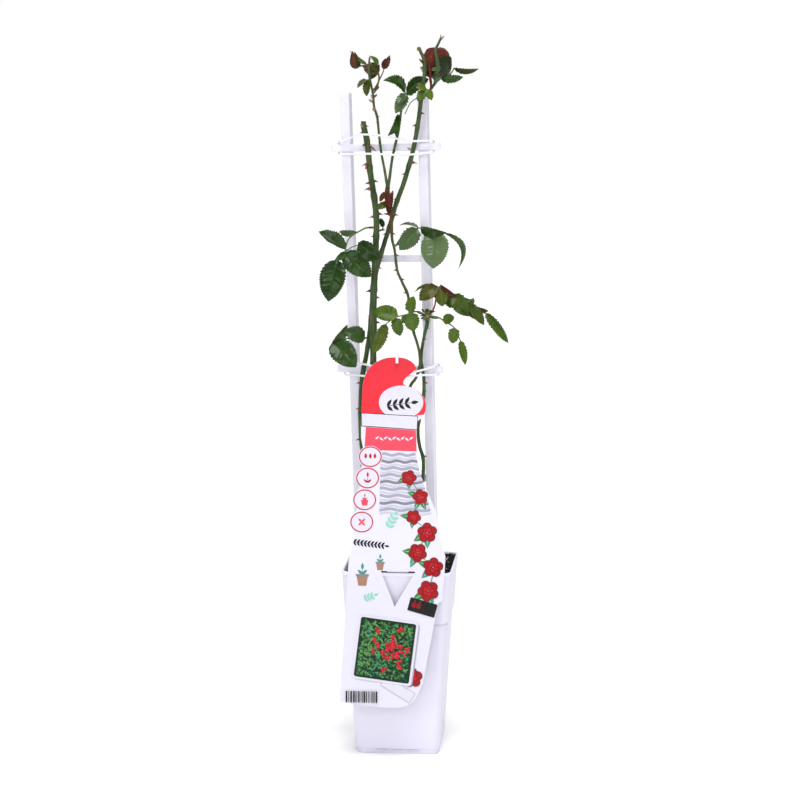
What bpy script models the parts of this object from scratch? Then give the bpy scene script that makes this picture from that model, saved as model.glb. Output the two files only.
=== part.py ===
"""Climbing rose on a white ladder trellis, growing in a deep square pot with a hanging label.

The origin is the middle of the pot's flat underside, +Z is up and the pot's front faces -Y.
Sizes in the tables below are in millimetres; meshes are in metres.
"""

import math
import random

import bmesh
import bpy
from mathutils import Matrix, Vector, noise

MM = 0.001
GAP = 0.3
SEED = 7

# Pot: a square with round corners, drawn as (half width, height) from the foot up and back inside
POT_HEIGHT = 204.0
POT_FLOOR = 2.2
COLLAR_FOOT = 147.5
CORNER_SHARE = 0.17
CORNER_STEPS = 4
POT_OUTSIDE = [
    (43.9, 0.0), (44.6, 0.8), (44.8, 5.4), (45.9, 6.4), (54.6, COLLAR_FOOT), (56.2, COLLAR_FOOT + 0.9),
    (59.1, 199.5), (60.0, 200.4), (60.0, POT_HEIGHT - 0.8), (59.3, POT_HEIGHT),
]
POT_INSIDE = [
    (57.8, POT_HEIGHT), (57.3, POT_HEIGHT - 0.8), (54.8, 150.0), (53.0, 146.0), (44.2, 8.0),
    (43.0, POT_FLOOR),
]
DRAIN_WIDTH = 13.0
DRAIN_PITCH = 16.5
DRAIN_LOW = 2.6
DRAIN_HIGH = 5.0
RECESS_WIDTH = 52.0
RECESS_DEPTH = 0.6

# Soil: fills the pot to a little under its rim
SOIL_TOP = 187.0
SOIL_GAP = 0.45
SOIL_LUMP = 2.0
STEM_FOOT = 140.0

# Trellis: two flat posts and four crossbars, in a frame that leans left and is turned to the right
TRELLIS_FOOT = (-0.3, 17.1, 0.0)
TRELLIS_YAW = -12.0
TRELLIS_LEAN = -1.6
POST_WIDTH = 10.0
POST_DEPTH = 10.0
POST_LOW = 112.0
POST_TOP = 714.5
POST_HALF_SPACING = 41.0
POST_SPLAY = 0.2
BAR_HEIGHT = 7.7
BAR_THICK = 3.0
BAR_PITCH = 120.2
BAR_LOWEST = 294.5
MIDDLE_BAR_DEPTH = -1.5
# length and shift to the right of the bars that stick out past the posts
LONG_BARS = {"crossbar_lower": (120.3, 0.0), "crossbar_top": (122.3, 2.1)}
EDGE_ROUND = 0.6

# Elastic rings that hold the canes: closed routes, over and behind both ends of a crossbar
TIE_RADIUS = 1.15
TIE_TOP_ROUTE = [
    (-66.6, 21.0, 660.6), (-56, 15.5, 665), (-46, 7.4, 668), (-38, 5.2, 669), (-22, 3.0, 668),
    (-5, 0.4, 665), (12, -2.2, 662.6), (26, -2.2, 662.6), (33, 0.0, 662.6), (34.6, 3.4, 662.4),
    (35.4, 6.6, 659), (35.4, 6.8, 654.5), (34.6, 3.6, 650.6), (33, -0.2, 650.4), (26, -2.2, 649.6),
    (12, -2.4, 648.2), (-5, 0.2, 647.6), (-22, 3.0, 648.2), (-38, 5.6, 648.4), (-46, 8.0, 648), (-56, 15.5, 647.6),
    (-66.6, 21.0, 647.2), (-69.2, 25.4, 647.2), (-70.0, 30.0, 650.6), (-70.0, 30.0, 656.8),
    (-69.2, 25.4, 660.6),
]
TIE_LOW_ROUTE = [
    (-61, 19.8, 419.8), (-52, 13.0, 421.6), (-42, 1.0, 421.6), (-30, -4.8, 420), (-14, -6.4, 416),
    (4, -7.8, 413.6), (13, -8.8, 414.6), (21, -8.4, 416), (29, -5.6, 418), (35, -3.8, 419.8),
    (38.6, -1.4, 421.8), (40.4, 2.6, 422.2), (41.4, 7.0, 419.4), (41.4, 7.2, 413.6), (40.4, 3.0, 410.4),
    (38.6, -1.4, 410.2), (35, -3.8, 410.8), (29, -5.6, 411.2), (21, -8.4, 411), (13, -8.8, 410.4),
    (4, -7.8, 409.6), (-14, -6.6, 408.8), (-30, -4.8, 408.4), (-42, 1.0, 408.6), (-52, 11.0, 408.4),
    (-58, 16.0, 407.2), (-61.4, 20.6, 406.8), (-63.6, 25.0, 407.2),
    (-64.2, 29.2, 410.4), (-64.2, 29.2, 415.6), (-63.4, 24.6, 419.4),
]

# Label: a stiff card that leans on the pot's rim, drawn as (x, z) seen from the front
CARD_THICK = 0.7
CARD_AT_RIM = -60.7
CARD_SLOPE_LOW = 0.07
CARD_SLOPE_HIGH = 0.239
CARD_BEND = 18.0
CARD_LEVELS = 15
CARD_BOTTOM = [(-60, 64), (-38, 61), (-15, 59), (3, 59), (14, 62), (22, 69), (30, 86)]
CARD_RIGHT = [
    (38, 130), (46, 173), (50, 175), (52, 198), (53, 222), (49, 236), (45, 254), (42, 269),
    (31, 293), (25, 306), (22, 317), (20, 331), (19, 362),
]
CARD_BULGE = (7, 379, 22, 20)
CARD_BITE = [(4.4, 402), (4.2, 405), (6.5, 408.5), (11.3, 412.7)]
CARD_HEAD = [
    (18.3, 418.6), (15.4, 423.3), (11, 426.8), (5, 429.4), (-5, 430.3), (-14, 429.6), (-22, 427),
    (-31, 421), (-37, 412), (-40, 401),
]
CARD_LEFT = [(-41, 369), (-40.5, 345)]
CARD_DISCS = [(-31, 324), (-34, 301), (-37, 278), (-39.5, 255)]
CARD_DISC_RADIUS = (12.6, 11.2)
CARD_FLAP = [(-16, 206), (21, 206), (-1, 168)]
TONGUE_ROUTE = [(-61.2, 207.0), (-60.2, 205.4), (-57.4, 205.2), (-56.3, 204.0), (-55.8, 198), (-55.2, 190.5)]
TONGUE_WIDTH = (26, 7)
TONGUE_X = 2.0

# Hook of the label: a narrow strip over the lower crossbar, drawn as (y, z)
HOOK_X = -3.0
HOOK_WIDTH = 3.0
HOOK_THICK = 1.2
HOOK_ROUTE = [
    (13.8, 409), (13.8, 418.6), (12.6, 420.3), (8.6, 420.6), (4, 423), (-4, 430), (-8.4, 433.2),
    (-11.6, 433.0), (-12.9, 430.4), (-13.4, 424.5),
]

# Canes: (x, y, z, radius) from the top down; the last two points stand upright in the soil
CANES = {
    "cane_thick": [
        (-41, 10, 683, 2.6), (-41, 10, 677, 3.1), (-38, 11, 665, 3.2), (-36, 11, 649, 3.2),
        (-34, 10, 629, 3.2), (-31, 8, 611, 3.2), (-29, 7, 598, 3.3), (-27, 6, 581, 3.3),
        (-27, 6, 566, 3.3), (-28, 5, 539, 3.4), (-29, 4, 516, 3.6), (-30, 3, 493, 3.8),
        (-30, 2, 470, 3.8), (-30, 1, 447, 3.6), (-30, 1, 425, 3.5), (-28, 1, 383, 3.6),
        (-23, 0, 328, 3.8), (-16, -1, 272, 4.0), (-10, 0, 222, 4.3), (-9, 0, 203, 4.5), (-9, 0, 183, 4.5),
        (-9, 0, STEM_FOOT, 4.5),
    ],
    "cane_bloom": [
        (20, -8, 761, 1.5), (22, -8, 756, 1.8), (25, -7.5, 750, 2.0), (26, -7, 739, 2.1),
        (25, -6, 727, 2.1), (22, -4, 707, 2.2), (19, -1, 685, 2.3), (13.5, 2, 655, 2.5),
        (4, 4, 621, 2.5), (-6, 7, 594, 2.5), (-12, 10, 574, 2.5), (-18, 13, 555, 2.5),
        (-24, 15, 536, 2.5), (-31, 15, 506, 2.5), (-34, 13.5, 468, 2.5), (-36, 12, 447, 2.5),
        (-39, 10, 428, 2.6), (-42, 9, 412, 2.7), (-44, 7, 386, 2.8), (-44, 5, 349, 2.9),
        (-40, 5, 312, 3.0), (-33, 7, 272, 3.1), (-25, 12, 226, 3.2), (-23, 13, 203, 3.3), (-23, 13, 183, 3.3),
        (-23, 13, STEM_FOOT, 3.3),
    ],
    "cane_fork": [
        (-14, -0.5, 616, 1.7), (-13, 0, 603, 1.7), (-12, 0, 590, 1.7), (-10, 0, 578, 1.6),
        (-10, 1, 566, 1.6), (-9.5, 2, 556, 1.5), (-7, 2, 546, 1.4), (-5, 1, 530, 1.4),
        (-3, 0, 521, 1.4), (2, -1, 510, 1.5), (8, -3, 497, 1.5), (10, -4, 479, 1.5),
        (14, -5, 459, 1.5), (18, -5, 446, 1.5), (21, -5, 433, 1.6), (21, -5, 421, 1.6),
        (17, -5, 408, 1.6), (10, -5, 397, 1.7), (2, -5, 368, 1.8), (-3, -6, 320, 2.0),
        (-1, -8, 262, 2.1), (2, -10, 222, 2.3), (3, -10, 203, 2.3), (3, -10, 183, 2.3), (3, -10, STEM_FOOT, 2.3),
    ],
    "cane_side": [
        (29, -6, 483, 1.7), (29, -6, 478, 2.9), (29, -6, 473, 2.9), (29, -5.5, 467, 1.9),
        (26, -4, 455, 1.7), (23.5, -1, 442, 1.7), (22, 0.5, 430, 1.7), (23, 0.5, 420, 1.7),
        (25, -1.5, 408, 1.8), (25, -3, 388, 1.8), (21, -4, 364, 1.8), (19, -5, 350, 1.8),
        (21, -5, 333, 1.9), (25, -5, 318, 1.9), (24, -4, 292, 2.0), (19, -2, 255, 2.1),
        (15, 1, 222, 2.3), (14, 2, 203, 2.3), (14, 2, 183, 2.3), (14, 2, STEM_FOOT, 2.3),
    ],
}
FORK_BRANCHES = [
    [
        (-33, -3, 751, 0.9), (-34, -2, 742, 1.1), (-34, 0, 733, 1.2), (-32, 2, 722, 1.2),
        (-30, 3, 710, 1.3), (-29, 4, 698, 1.3), (-26, 7, 687, 1.3), (-24, 8, 667, 1.3),
        (-21.5, 8, 648, 1.3), (-18, 4, 632, 1.4), (-14.5, 0, 614, 1.5),
    ],
    [
        (7, 1, 706, 1.1), (1, 3, 697, 1.2), (-1, 4, 686, 1.2), (-3, 5, 672, 1.3), (-6, 6, 660, 1.3),
        (-9.5, 6, 645, 1.4), (-12, 2, 625, 1.5), (-13.5, -0.5, 612, 1.5),
    ],
]
CANE_SIDES = {"cane_thick": 8, "cane_bloom": 8, "cane_fork": 6, "cane_side": 6}
RING_SPACING = 15.0

# Prickles seen in the photo: (height, compass angle, length), 0 to the right, -90 to the front
PRICKLES = {
    "cane_thick": [
        (678, -10, 4), (671, 200, 4), (637, -150, 7), (619, 5, 6), (617, 188, 6), (611, 200, 8),
        (584, 0, 6), (581, 190, 6), (560, 200, 4), (538, 190, 5), (526, 0, 6), (501, 190, 7),
        (494, 0, 5), (474, 200, 4), (467, 5, 6), (436, -80, 5), (395, -60, 5), (360, 170, 5),
        (315, 20, 5), (262, 190, 6),
    ],
    "cane_bloom": [
        (692, 5, 5), (679, 180, 5), (639.5, -5, 7), (627, 190, 4), (600, 150, 4), (583, 20, 5),
        (562, 200, 4), (520, 120, 4), (486, 100, 5), (400, 180, 5), (372, 200, 4), (338, 185, 5),
        (296, 160, 5), (246, 200, 6),
    ],
    "cane_fork": [
        (584, 10, 4), (574, 190, 4), (563, 0, 4), (540, 0, 4), (524, 190, 4), (514, 0, 4),
        (500, 185, 4), (488, 10, 3), (462, -160, 3), (382, 30, 4), (340, 200, 4), (285, 15, 4),
    ],
    "cane_side": [
        (462, 10, 3), (450, -20, 3), (402, 20, 4), (372, 10, 4), (344, 170, 4), (322, 10, 4),
        (280, 200, 4),
    ],
}
PRICKLE_SIDES = 5
PRICKLE_BASE_SHARE = 0.32
PRICKLE_TILT = 0.18

# Leaflets: base, tip, width, then roll, fold, arch, sweep and teeth where they differ from these
LEAFLET_DEFAULTS = dict(roll=0.0, fold=14.0, arch=0.08, sweep=0.0, teeth=6)
BLADE_THICK = 0.7
BLADE_PEAK = 0.4
NOTCH_DEPTH = 0.15
TOOTH_LEAN = 0.78


def leaflet(base, tip, width, **changes):
    """One leaflet as a row of the leaf tables."""
    return dict(LEAFLET_DEFAULTS, base=base, tip=tip, width=width, **changes)


LEAVES = {
    "leaf_left_upper": dict(
        cane="cane_thick", colour="leaf_dark",
        stalk=[(-33, 4, 569), (-38, 1, 569), (-44, -1, 566), (-51, -4, 562), (-56, -7, 557),
               (-58, -9, 551), (-60, -10, 543), (-64, -12, 537), (-67, -13, 534)],
        twigs=[[(-59, -10, 544), (-52, -9.5, 549), (-44, -9, 552)]],
        leaflets=[
            leaflet((-47, -3, 564.5), (-67, 6, 563), 9, fold=45, roll=-35, teeth=5),
            leaflet((-58, -9, 548), (-88, -3, 566), 15, fold=52, roll=30, sweep=0.08),
            leaflet((-59, -10, 543), (-69, -20, 536), 9, fold=30, roll=-30, teeth=4),
            leaflet((-66, -13, 535), (-74, -24, 492), 28, fold=10, arch=0.10, teeth=9),
            leaflet((-60, -10, 542), (-33, -14, 517), 21, fold=12, arch=0.10, teeth=8),
            leaflet((-45, -9, 552), (-20, -8, 536), 19, fold=36, roll=25, arch=0.18, teeth=7),
        ],
    ),
    "leaf_left_lower": dict(
        cane="cane_thick", colour="leaf_dark",
        stalk=[(-34, -2, 450), (-42, -6, 451), (-52, -10, 451), (-65, -12, 449), (-73, -13, 446)],
        leaflets=[
            leaflet((-41, -5, 451), (-61, -15, 458), 17, fold=24, roll=15, arch=0.16),
            leaflet((-72, -13, 446), (-57, -9, 465), 9, fold=50, roll=40, teeth=5),
            leaflet((-71, -13, 446), (-47, -21, 421), 22, fold=12, roll=-8, arch=0.12, teeth=8),
        ],
    ),
    "leaf_centre": dict(
        cane="cane_side", colour="leaf_light",
        stalk=[(27, -8, 477), (21, -9.5, 480), (15, -10.5, 480), (7, -11, 477), (-2, -11.5, 475),
               (-8, -11.5, 472), (-16, -11.5, 466)],
        leaflets=[
            leaflet((13, -10.5, 479.5), (16, -14, 497), 12, fold=22, roll=-12, teeth=5),
            leaflet((11, -10.5, 479), (17, -15, 459), 15, fold=14, roll=6),
            leaflet((6, -11, 477), (3, -13, 468), 6, teeth=4),
            leaflet((-5, -11.5, 473.5), (0.5, -14, 454), 11, fold=16, teeth=5),
            leaflet((-3, -11.5, 475), (-28, -8, 480), 15, fold=14, roll=10, teeth=7),
            leaflet((-15, -11.5, 467), (-29, -10.5, 434), 14, fold=28, roll=-14, arch=0.06, teeth=7),
        ],
    ),
    "leaf_right_small": dict(
        cane="cane_side", colour="leaf_light",
        stalk=[(32, -8, 475), (39, -9, 474), (46, -10, 473), (52, -11, 471), (58, -12, 467),
               (62, -13, 457), (66, -14, 449)],
        leaflets=[
            leaflet((49, -10.5, 472), (58, -12, 479), 10.5, fold=10, teeth=4),
            leaflet((59.5, -12.4, 464), (56, -15, 446), 12, fold=16, roll=-10, teeth=5),
            leaflet((65.3, -13.8, 450.5), (71, -16, 424), 9, fold=26, roll=-10, teeth=6),
        ],
    ),
    "shoot_right": dict(
        cane="cane_side", colour="leaf_young",
        stalk=[(32, -8, 482.2), (34, -8.6, 487), (37, -9, 493), (38, -10, 499), (40, -11, 505),
               (44, -12, 508), (52, -13, 505), (60, -13.5, 499), (72, -14, 494), (82, -14.5, 487),
               (92, -15, 481)],
        leaflets=[
            leaflet((40.5, -11, 507), (23, -20, 494), 12, fold=16, roll=12, teeth=5),
            leaflet((43, -12, 508), (47, -19, 487), 12.5, fold=14, roll=-5, teeth=5),
            leaflet((39.4, -10.8, 504.4), (16, -9, 503), 9, fold=44, roll=55, teeth=5),
            leaflet((45, -12, 508), (60, -16, 499), 8, fold=46, roll=40, teeth=4),
            leaflet((53, -13, 504), (51, -17, 486), 9, fold=20, roll=-20, teeth=5),
            leaflet((58, -13.5, 500.5), (71, -20, 481), 15, fold=20, roll=6, teeth=6),
            leaflet((72, -14, 494), (82, -9, 493), 8, fold=30, roll=60, teeth=4),
            leaflet((73, -14, 493.5), (89, -18, 468), 11, fold=30, roll=-6, teeth=5),
            leaflet((81, -14.5, 488), (95, -10, 484), 8, fold=30, roll=50, teeth=4),
            leaflet((91, -15, 482), (117, -17, 448), 11, fold=36, roll=10, sweep=0.05, teeth=7),
        ],
    ),
    "leaf_right_upper": dict(
        cane="cane_fork", colour="leaf_dark",
        stalk=[(-4, 1, 551), (-1, -1, 557), (4, -4, 562), (13, -7, 567), (20, -9, 570),
               (30, -12, 568.5), (40, -13.5, 565), (50, -13.5, 565)],
        leaflets=[
            leaflet((19, -9, 569.5), (0, -16, 547), 20, fold=18, roll=-10, teeth=7),
            leaflet((39, -13.4, 565), (35, -23, 526), 31, fold=8, roll=4, arch=0.1, teeth=9),
            leaflet((20, -9, 570), (-1, -3, 573), 8, fold=40, roll=60, teeth=5),
            leaflet((22, -9.5, 570), (50, -22, 566), 14, fold=30, roll=38, arch=0.12, teeth=7),
            leaflet((49, -13.5, 565), (63, -14, 527), 11, fold=42, roll=-20, sweep=0.16, teeth=7),
        ],
    ),
    "leaf_top_centre": dict(
        cane=None, colour="leaf_dark",
        stalk=[(7.1, 0.9, 707.5), (6.4, 0.6, 710), (5, 0.2, 713), (4, 0, 715)],
        leaflets=[
            leaflet((4.6, 0.2, 713.6), (-18, -5, 727), 15, fold=30, roll=26, sweep=-0.2, teeth=7),
            leaflet((4.8, 0, 713), (-5, -8, 692), 13.5, fold=20, roll=-16, teeth=6),
            leaflet((6, 0.4, 711), (-3, -13, 700), 10, fold=22, roll=20, teeth=5),
            leaflet((6.2, 0.6, 711), (29, 10, 728), 16, fold=28, roll=16, sweep=0.14, teeth=7),
        ],
    ),
    "leaf_fork": dict(
        cane="cane_fork_right", colour="leaf_dark",
        stalk=[(-1.5, 1, 688), (-2.6, -1, 690), (-4, -2.2, 690)],
        leaflets=[
            leaflet((-3.2, -1.7, 690), (-13, -8, 668), 9.5, fold=34, roll=-25, sweep=0.1, teeth=6),
            leaflet((-3.0, -1.5, 689.5), (-5, -4.5, 667), 6, fold=30, roll=10, teeth=4),
        ],
    ),
    "shoot_red": dict(
        cane="cane_fork", colour="leaf_red",
        stalk=[(-12.5, -2, 584), (-13.6, -4, 586.5), (-14.2, -4.8, 592), (-14.6, -5, 599),
               (-15.4, -5.2, 605)],
        leaflets=[
            leaflet((-13.8, -4.3, 588), (-11.5, -8, 612), 10, fold=42, roll=10, teeth=5),
            leaflet((-14.4, -5, 596), (-26, -10, 591), 8, fold=24, roll=-10, teeth=4),
            leaflet((-15.2, -5.2, 604), (-21, -7, 596), 5, fold=30, roll=10, teeth=3),
        ],
    ),
    "leaf_behind": dict(
        cane="cane_thick", colour="leaf_dark",
        stalk=[(-23, 8, 566), (-20.5, 9, 567.5), (-20, 10, 570)],
        leaflets=[leaflet((-20.2, 9.7, 569), (-23.5, 12, 579), 6.5, fold=30, roll=20, teeth=4)],
    ),
    "leaf_light_trio": dict(
        cane="cane_bloom", colour="leaf_light",
        stalk=[(23, -6.5, 709), (24.5, -9, 712), (27, -10, 716), (28.6, -10.4, 718)],
        twigs=[[(23.9, -8.4, 711), (18, -8, 708), (11, -8, 703), (5, -9, 691)]],
        leaflets=[
            leaflet((28, -10.2, 717.4), (17, -14, 720), 8, fold=16, roll=20, teeth=4),
            leaflet((27.6, -10.1, 717), (19, -15, 705), 10, fold=12, teeth=5),
            leaflet((28.2, -10.3, 717.4), (34, -13, 706), 9, fold=14, roll=-12, teeth=4),
        ],
    ),
    "leaf_below_buds": dict(
        cane="cane_fork_left", colour="leaf_olive",
        stalk=[(-34, 0, 726), (-35, -2.4, 727.4), (-36, -3.4, 726)],
        leaflets=[
            leaflet((-35.2, -2.8, 726.8), (-36, -7, 710), 9, fold=22, roll=10, teeth=5),
            leaflet((-35.4, -3.0, 726.8), (-46, -6, 719), 7, fold=34, roll=30, teeth=4),
        ],
    ),
    "shoot_top_red": dict(
        cane="cane_fork_left", colour="leaf_red",
        stalk=[(-29, 4, 717), (-26, 4.6, 722), (-23, 4.8, 728), (-20, 4.8, 734), (-18, 4.6, 740)],
        leaflets=[
            leaflet((-18.6, 4.7, 738.4), (-12, 2, 753), 8, fold=40, roll=20, teeth=4),
            leaflet((-18.8, 4.7, 738), (-17, 8, 750), 6, fold=36, roll=-40, teeth=4),
        ],
    ),
}

# Bloom: closed petals in layers round a core, (radius, height, petals, turn, closing)
BLOOM_CENTRE = (38, 9, 732.0)
BLOOM_CUP = 7.0
BLOOM_LAYERS = [(11.0, 29, 3, 75, 0.40), (15.2, 28.5, 4, 20, 0.50)]
BLOOM_SEAT = 729.0
RECEPTACLE = [(1.2, 724.8), (7.2, 730.1)]
PETAL_THICK = 0.8
PETAL_GRID = (3, 3)
BLOOM_STALK = [(29, -4.6, 712), (31, -1, 716), (34, 3, 720.5), (37, 7, 725), (38, 9, 728.6)]
BLOOM_STEM = [(36, 4, 724), (37, -4, 727.5), (38, -8.6, 733), (39, -11.2, 741), (38, -11.6, 751),
              (40, -11.2, 762), (44, -9, 774)]
BLOOM_STEM_RADII = [1.4, 1.6, 2.0, 2.4, 1.8, 1.4, 1.1]
# Sepals as (compass angle, height, span in degrees), with the cup's shape and a larger radius
SEPAL_RADIUS = 17.6
SEPALS = [(-30, 20, 74), (62, 14, 60), (150, 10, 60), (250, 8, 56)]
BLOOM_TWIG = [(40, 10.5, 728), (48, 16, 730.5), (53, 19, 735), (55.5, 18.5, 739.6)]
BLOOM_GREENS = [
    leaflet((42, 8, 728.6), (66, 7, 730), 10, fold=24, roll=30, arch=0.12, teeth=7),
    leaflet((55.2, 18.4, 739.4), (82, 14, 738.5), 8, fold=34, roll=40, sweep=-0.06, teeth=7),
]

# Buds at the upper left: (base, tip, radius)
BUD_OLIVE = ((-24, 10, 735), (-41.5, 8, 742.5), 6.8)
BUD_RED = ((-45.5, 7.4, 741), (-51.5, 5.4, 757), 5.3)
BUD_RED_NECK = [(-41.95, 7.95, 742.4), (-44.5, 7.6, 742.2), (-47, 7.2, 744)]
BUD_STALK = [(-28.6, 5.2, 714), (-26.2, 7.4, 719), (-24.4, 9.4, 727), (-24.6, 10, 732), (-26, 10, 736)]
BUD_GREENS = [
    leaflet((-26, 9, 736), (-35, 3.2, 753), 5.5, fold=20, roll=20, sweep=-0.22, teeth=3),
    leaflet((-26, 10, 735), (-34, 6, 727.5), 6.5, fold=20, roll=10, teeth=3),
    leaflet((-26.5, 11, 736), (-38, 18, 741), 6.0, fold=20, roll=40, teeth=3),
]
BUD_RED_GREENS = [
    leaflet((-44.6, 7.2, 746), (-53, 0.5, 753), 5.5, fold=24, roll=10, teeth=3),
    leaflet((-44.6, 7.2, 746), (-55.5, 9.5, 759), 5.0, fold=24, roll=60, teeth=3),
    leaflet((-44.6, 7.2, 746), (-46, 10, 759), 5.0, fold=24, roll=-40, teeth=3),
]

# Finishes: base colour, roughness
FINISHES = {
    "pot_white": ((0.86, 0.85, 0.89), 0.42),
    "trellis_white": ((0.84, 0.82, 0.90), 0.38),
    "tie_white": ((0.88, 0.87, 0.90), 0.50),
    "soil": ((0.045, 0.032, 0.024), 0.95),
    "card": ((0.84, 0.83, 0.86), 0.35),
    "cane": ((0.15, 0.24, 0.11), 0.50),
    "leaf_dark": ((0.035, 0.105, 0.035), 0.35),
    "leaf_light": ((0.10, 0.25, 0.06), 0.42),
    "leaf_young": ((0.13, 0.17, 0.05), 0.40),
    "leaf_olive": ((0.16, 0.19, 0.07), 0.50),
    "leaf_red": ((0.19, 0.03, 0.03), 0.45),
    "petal_red": ((0.20, 0.025, 0.03), 0.60),
}


def finish(name):
    """The named material, made the first time it is asked for."""
    found = bpy.data.materials.get(name)
    if found:
        return found
    colour, roughness = FINISHES[name]
    made = bpy.data.materials.new(name)
    made.use_nodes = True
    shader = made.node_tree.nodes["Principled BSDF"]
    shader.inputs["Base Color"].default_value = (*colour, 1.0)
    shader.inputs["Roughness"].default_value = roughness
    shader.inputs["Metallic"].default_value = 0.0
    made.diffuse_color = (*colour, 1.0)
    return made


def metres(point):
    return Vector(point[:3]) * MM


def add_object(name, mesh, collection, colour=None):
    made = bpy.data.objects.new(name, mesh)
    collection.objects.link(made)
    if colour:
        mesh.materials.clear()
        mesh.materials.append(finish(colour))
    return made


def mesh_from(name, shape):
    """A mesh of a bmesh, with welded corners and faces turned out."""
    bmesh.ops.remove_doubles(shape, verts=shape.verts, dist=0.002 * MM)
    bmesh.ops.recalc_face_normals(shape, faces=shape.faces)
    mesh = bpy.data.meshes.new(name)
    shape.to_mesh(mesh)
    shape.free()
    return mesh


def evaluated_mesh(made):
    """The object's mesh with its modifiers or its curve worked out."""
    bpy.context.view_layer.update()
    graph = bpy.context.evaluated_depsgraph_get()
    return bpy.data.meshes.new_from_object(made.evaluated_get(graph))


def shade_round(made, angle=40.0):
    made.data.shade_smooth()
    made.data.set_sharp_from_angle(angle=math.radians(angle))


def smooth_route(points, spacing):
    """Points about every spacing along the smooth curve through the given ones, radius included."""
    points = [Vector(p) for p in points]
    ends = [2 * points[0] - points[1], *points, 2 * points[-1] - points[-2]]
    route = []
    for a, b, c, d in zip(ends, ends[1:], ends[2:], ends[3:]):
        steps = max(1, round((c.xyz - b.xyz).length / spacing))
        for step in range(steps):
            t = step / steps
            route.append(0.5 * (2 * b + (c - a) * t + (2 * a - 5 * b + 4 * c - d) * t ** 2
                                + (3 * b - a - 3 * c + d) * t ** 3))
    return route + [points[-1]]


def tube(name, points, radii, sides, collection, cyclic=False):
    """A round tube along points, in millimetres, as a closed mesh object."""
    curve = bpy.data.curves.new(name, "CURVE")
    curve.dimensions = "3D"
    curve.bevel_depth = MM
    curve.bevel_resolution = sides // 2 - 2
    curve.use_fill_caps = not cyclic
    spline = curve.splines.new("POLY")
    spline.points.add(len(points) - 1)
    for corner, point, radius in zip(spline.points, points, radii):
        corner.co = (*metres(point), 1.0)
        corner.radius = radius
    spline.use_cyclic_u = cyclic
    guide = bpy.data.objects.new(name + "_route", curve)
    collection.objects.link(guide)
    shape = bmesh.new()
    shape.from_mesh(evaluated_mesh(guide))
    bpy.data.objects.remove(guide)
    return add_object(name, mesh_from(name, shape), collection)


def fuse(base, parts):
    """Joins the parts to base as one body, and removes them."""
    if not parts:
        return
    repeats = bpy.data.collections.new(base.name + "_repeats")
    bpy.context.scene.collection.children.link(repeats)
    for part in parts:
        for holder in part.users_collection:
            holder.objects.unlink(part)
        repeats.objects.link(part)
    join = base.modifiers.new("join", "BOOLEAN")
    join.operation = "UNION"
    join.operand_type = "COLLECTION"
    join.collection = repeats
    join.solver = "EXACT"
    joined = evaluated_mesh(base)
    base.modifiers.clear()
    base.data = joined
    for part in list(repeats.objects):
        bpy.data.objects.remove(part)
    bpy.data.collections.remove(repeats)


def cut(base, cutters, collection):
    """Takes the cutters away from base."""
    for cutter in cutters:
        cutter.hide_render = True
        cutter.display_type = "WIRE"
        for holder in cutter.users_collection:
            holder.objects.unlink(cutter)
        collection.objects.link(cutter)
        hole = base.modifiers.new("cut " + cutter.name, "BOOLEAN")
        hole.operation = "DIFFERENCE"
        hole.object = cutter
        hole.solver = "EXACT"


def box(name, size, place, collection, colour=None, round_by=0.0, parent=None):
    """A box of size at place, in millimetres, under its parent."""
    shape = bmesh.new()
    bmesh.ops.create_cube(shape, size=1.0, matrix=Matrix.Diagonal((*metres(size), 1.0)))
    made = add_object(name, mesh_from(name, shape), collection, colour)
    made.location = metres(place)
    made.parent = parent
    if round_by:
        bevel = made.modifiers.new("round", "BEVEL")
        bevel.width = round_by * MM
        bevel.segments = 1
    return made


def square_ring(half, height, steps=CORNER_STEPS):
    """Corners of a level square with round corners, turning left from the front right."""
    radius = half * CORNER_SHARE
    ring = []
    for quarter in range(4):
        middle = Matrix.Rotation(quarter * math.pi / 2, 3, "Z") @ Vector((half - radius, half - radius, 0))
        for step in range(steps + 1):
            turn = (quarter + step / steps) * math.pi / 2
            ring.append(middle + radius * Vector((math.cos(turn), math.sin(turn), 0)) + Vector((0, 0, height)))
    return ring


def loft(name, rings):
    """A closed mesh over rings of equal length, with flat ends."""
    shape = bmesh.new()
    corners = [[shape.verts.new(p * MM) for p in ring] for ring in rings]
    for low, high in zip(corners, corners[1:]):
        for i in range(len(low)):
            j = (i + 1) % len(low)
            shape.faces.new((low[i], low[j], high[j], high[i]))
    shape.faces.new(reversed(corners[0]))
    shape.faces.new(corners[-1])
    return mesh_from(name, shape)


def make_pot(collection, cutters):
    rings = [square_ring(half, height) for half, height in POT_OUTSIDE + POT_INSIDE]
    pot = add_object("pot", loft("pot", rings), collection, "pot_white")
    wall = POT_OUTSIDE[2][0]
    holes = []
    for side in range(4):
        turn = Matrix.Rotation(side * math.pi / 2, 4, "Z")
        recess = box(f"recess_{side}", (RECESS_WIDTH, 2 * RECESS_DEPTH, DRAIN_HIGH + 2), (0, 0, 0), cutters)
        recess.matrix_world = turn @ Matrix.Translation(metres((0, -wall, DRAIN_HIGH / 2 - 1)))
        holes.append(recess)
        for place in (-1, 0, 1):
            size = (DRAIN_WIDTH, 8, DRAIN_HIGH - DRAIN_LOW)
            slot = box(f"drain_{side}_{place + 1}", size, (0, 0, 0), cutters)
            middle = (place * DRAIN_PITCH, -wall + 1, (DRAIN_LOW + DRAIN_HIGH) / 2)
            slot.matrix_world = turn @ Matrix.Translation(metres(middle))
            holes.append(slot)
    cut(pot, holes, cutters)
    shade_round(pot, 30)
    return pot


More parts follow.
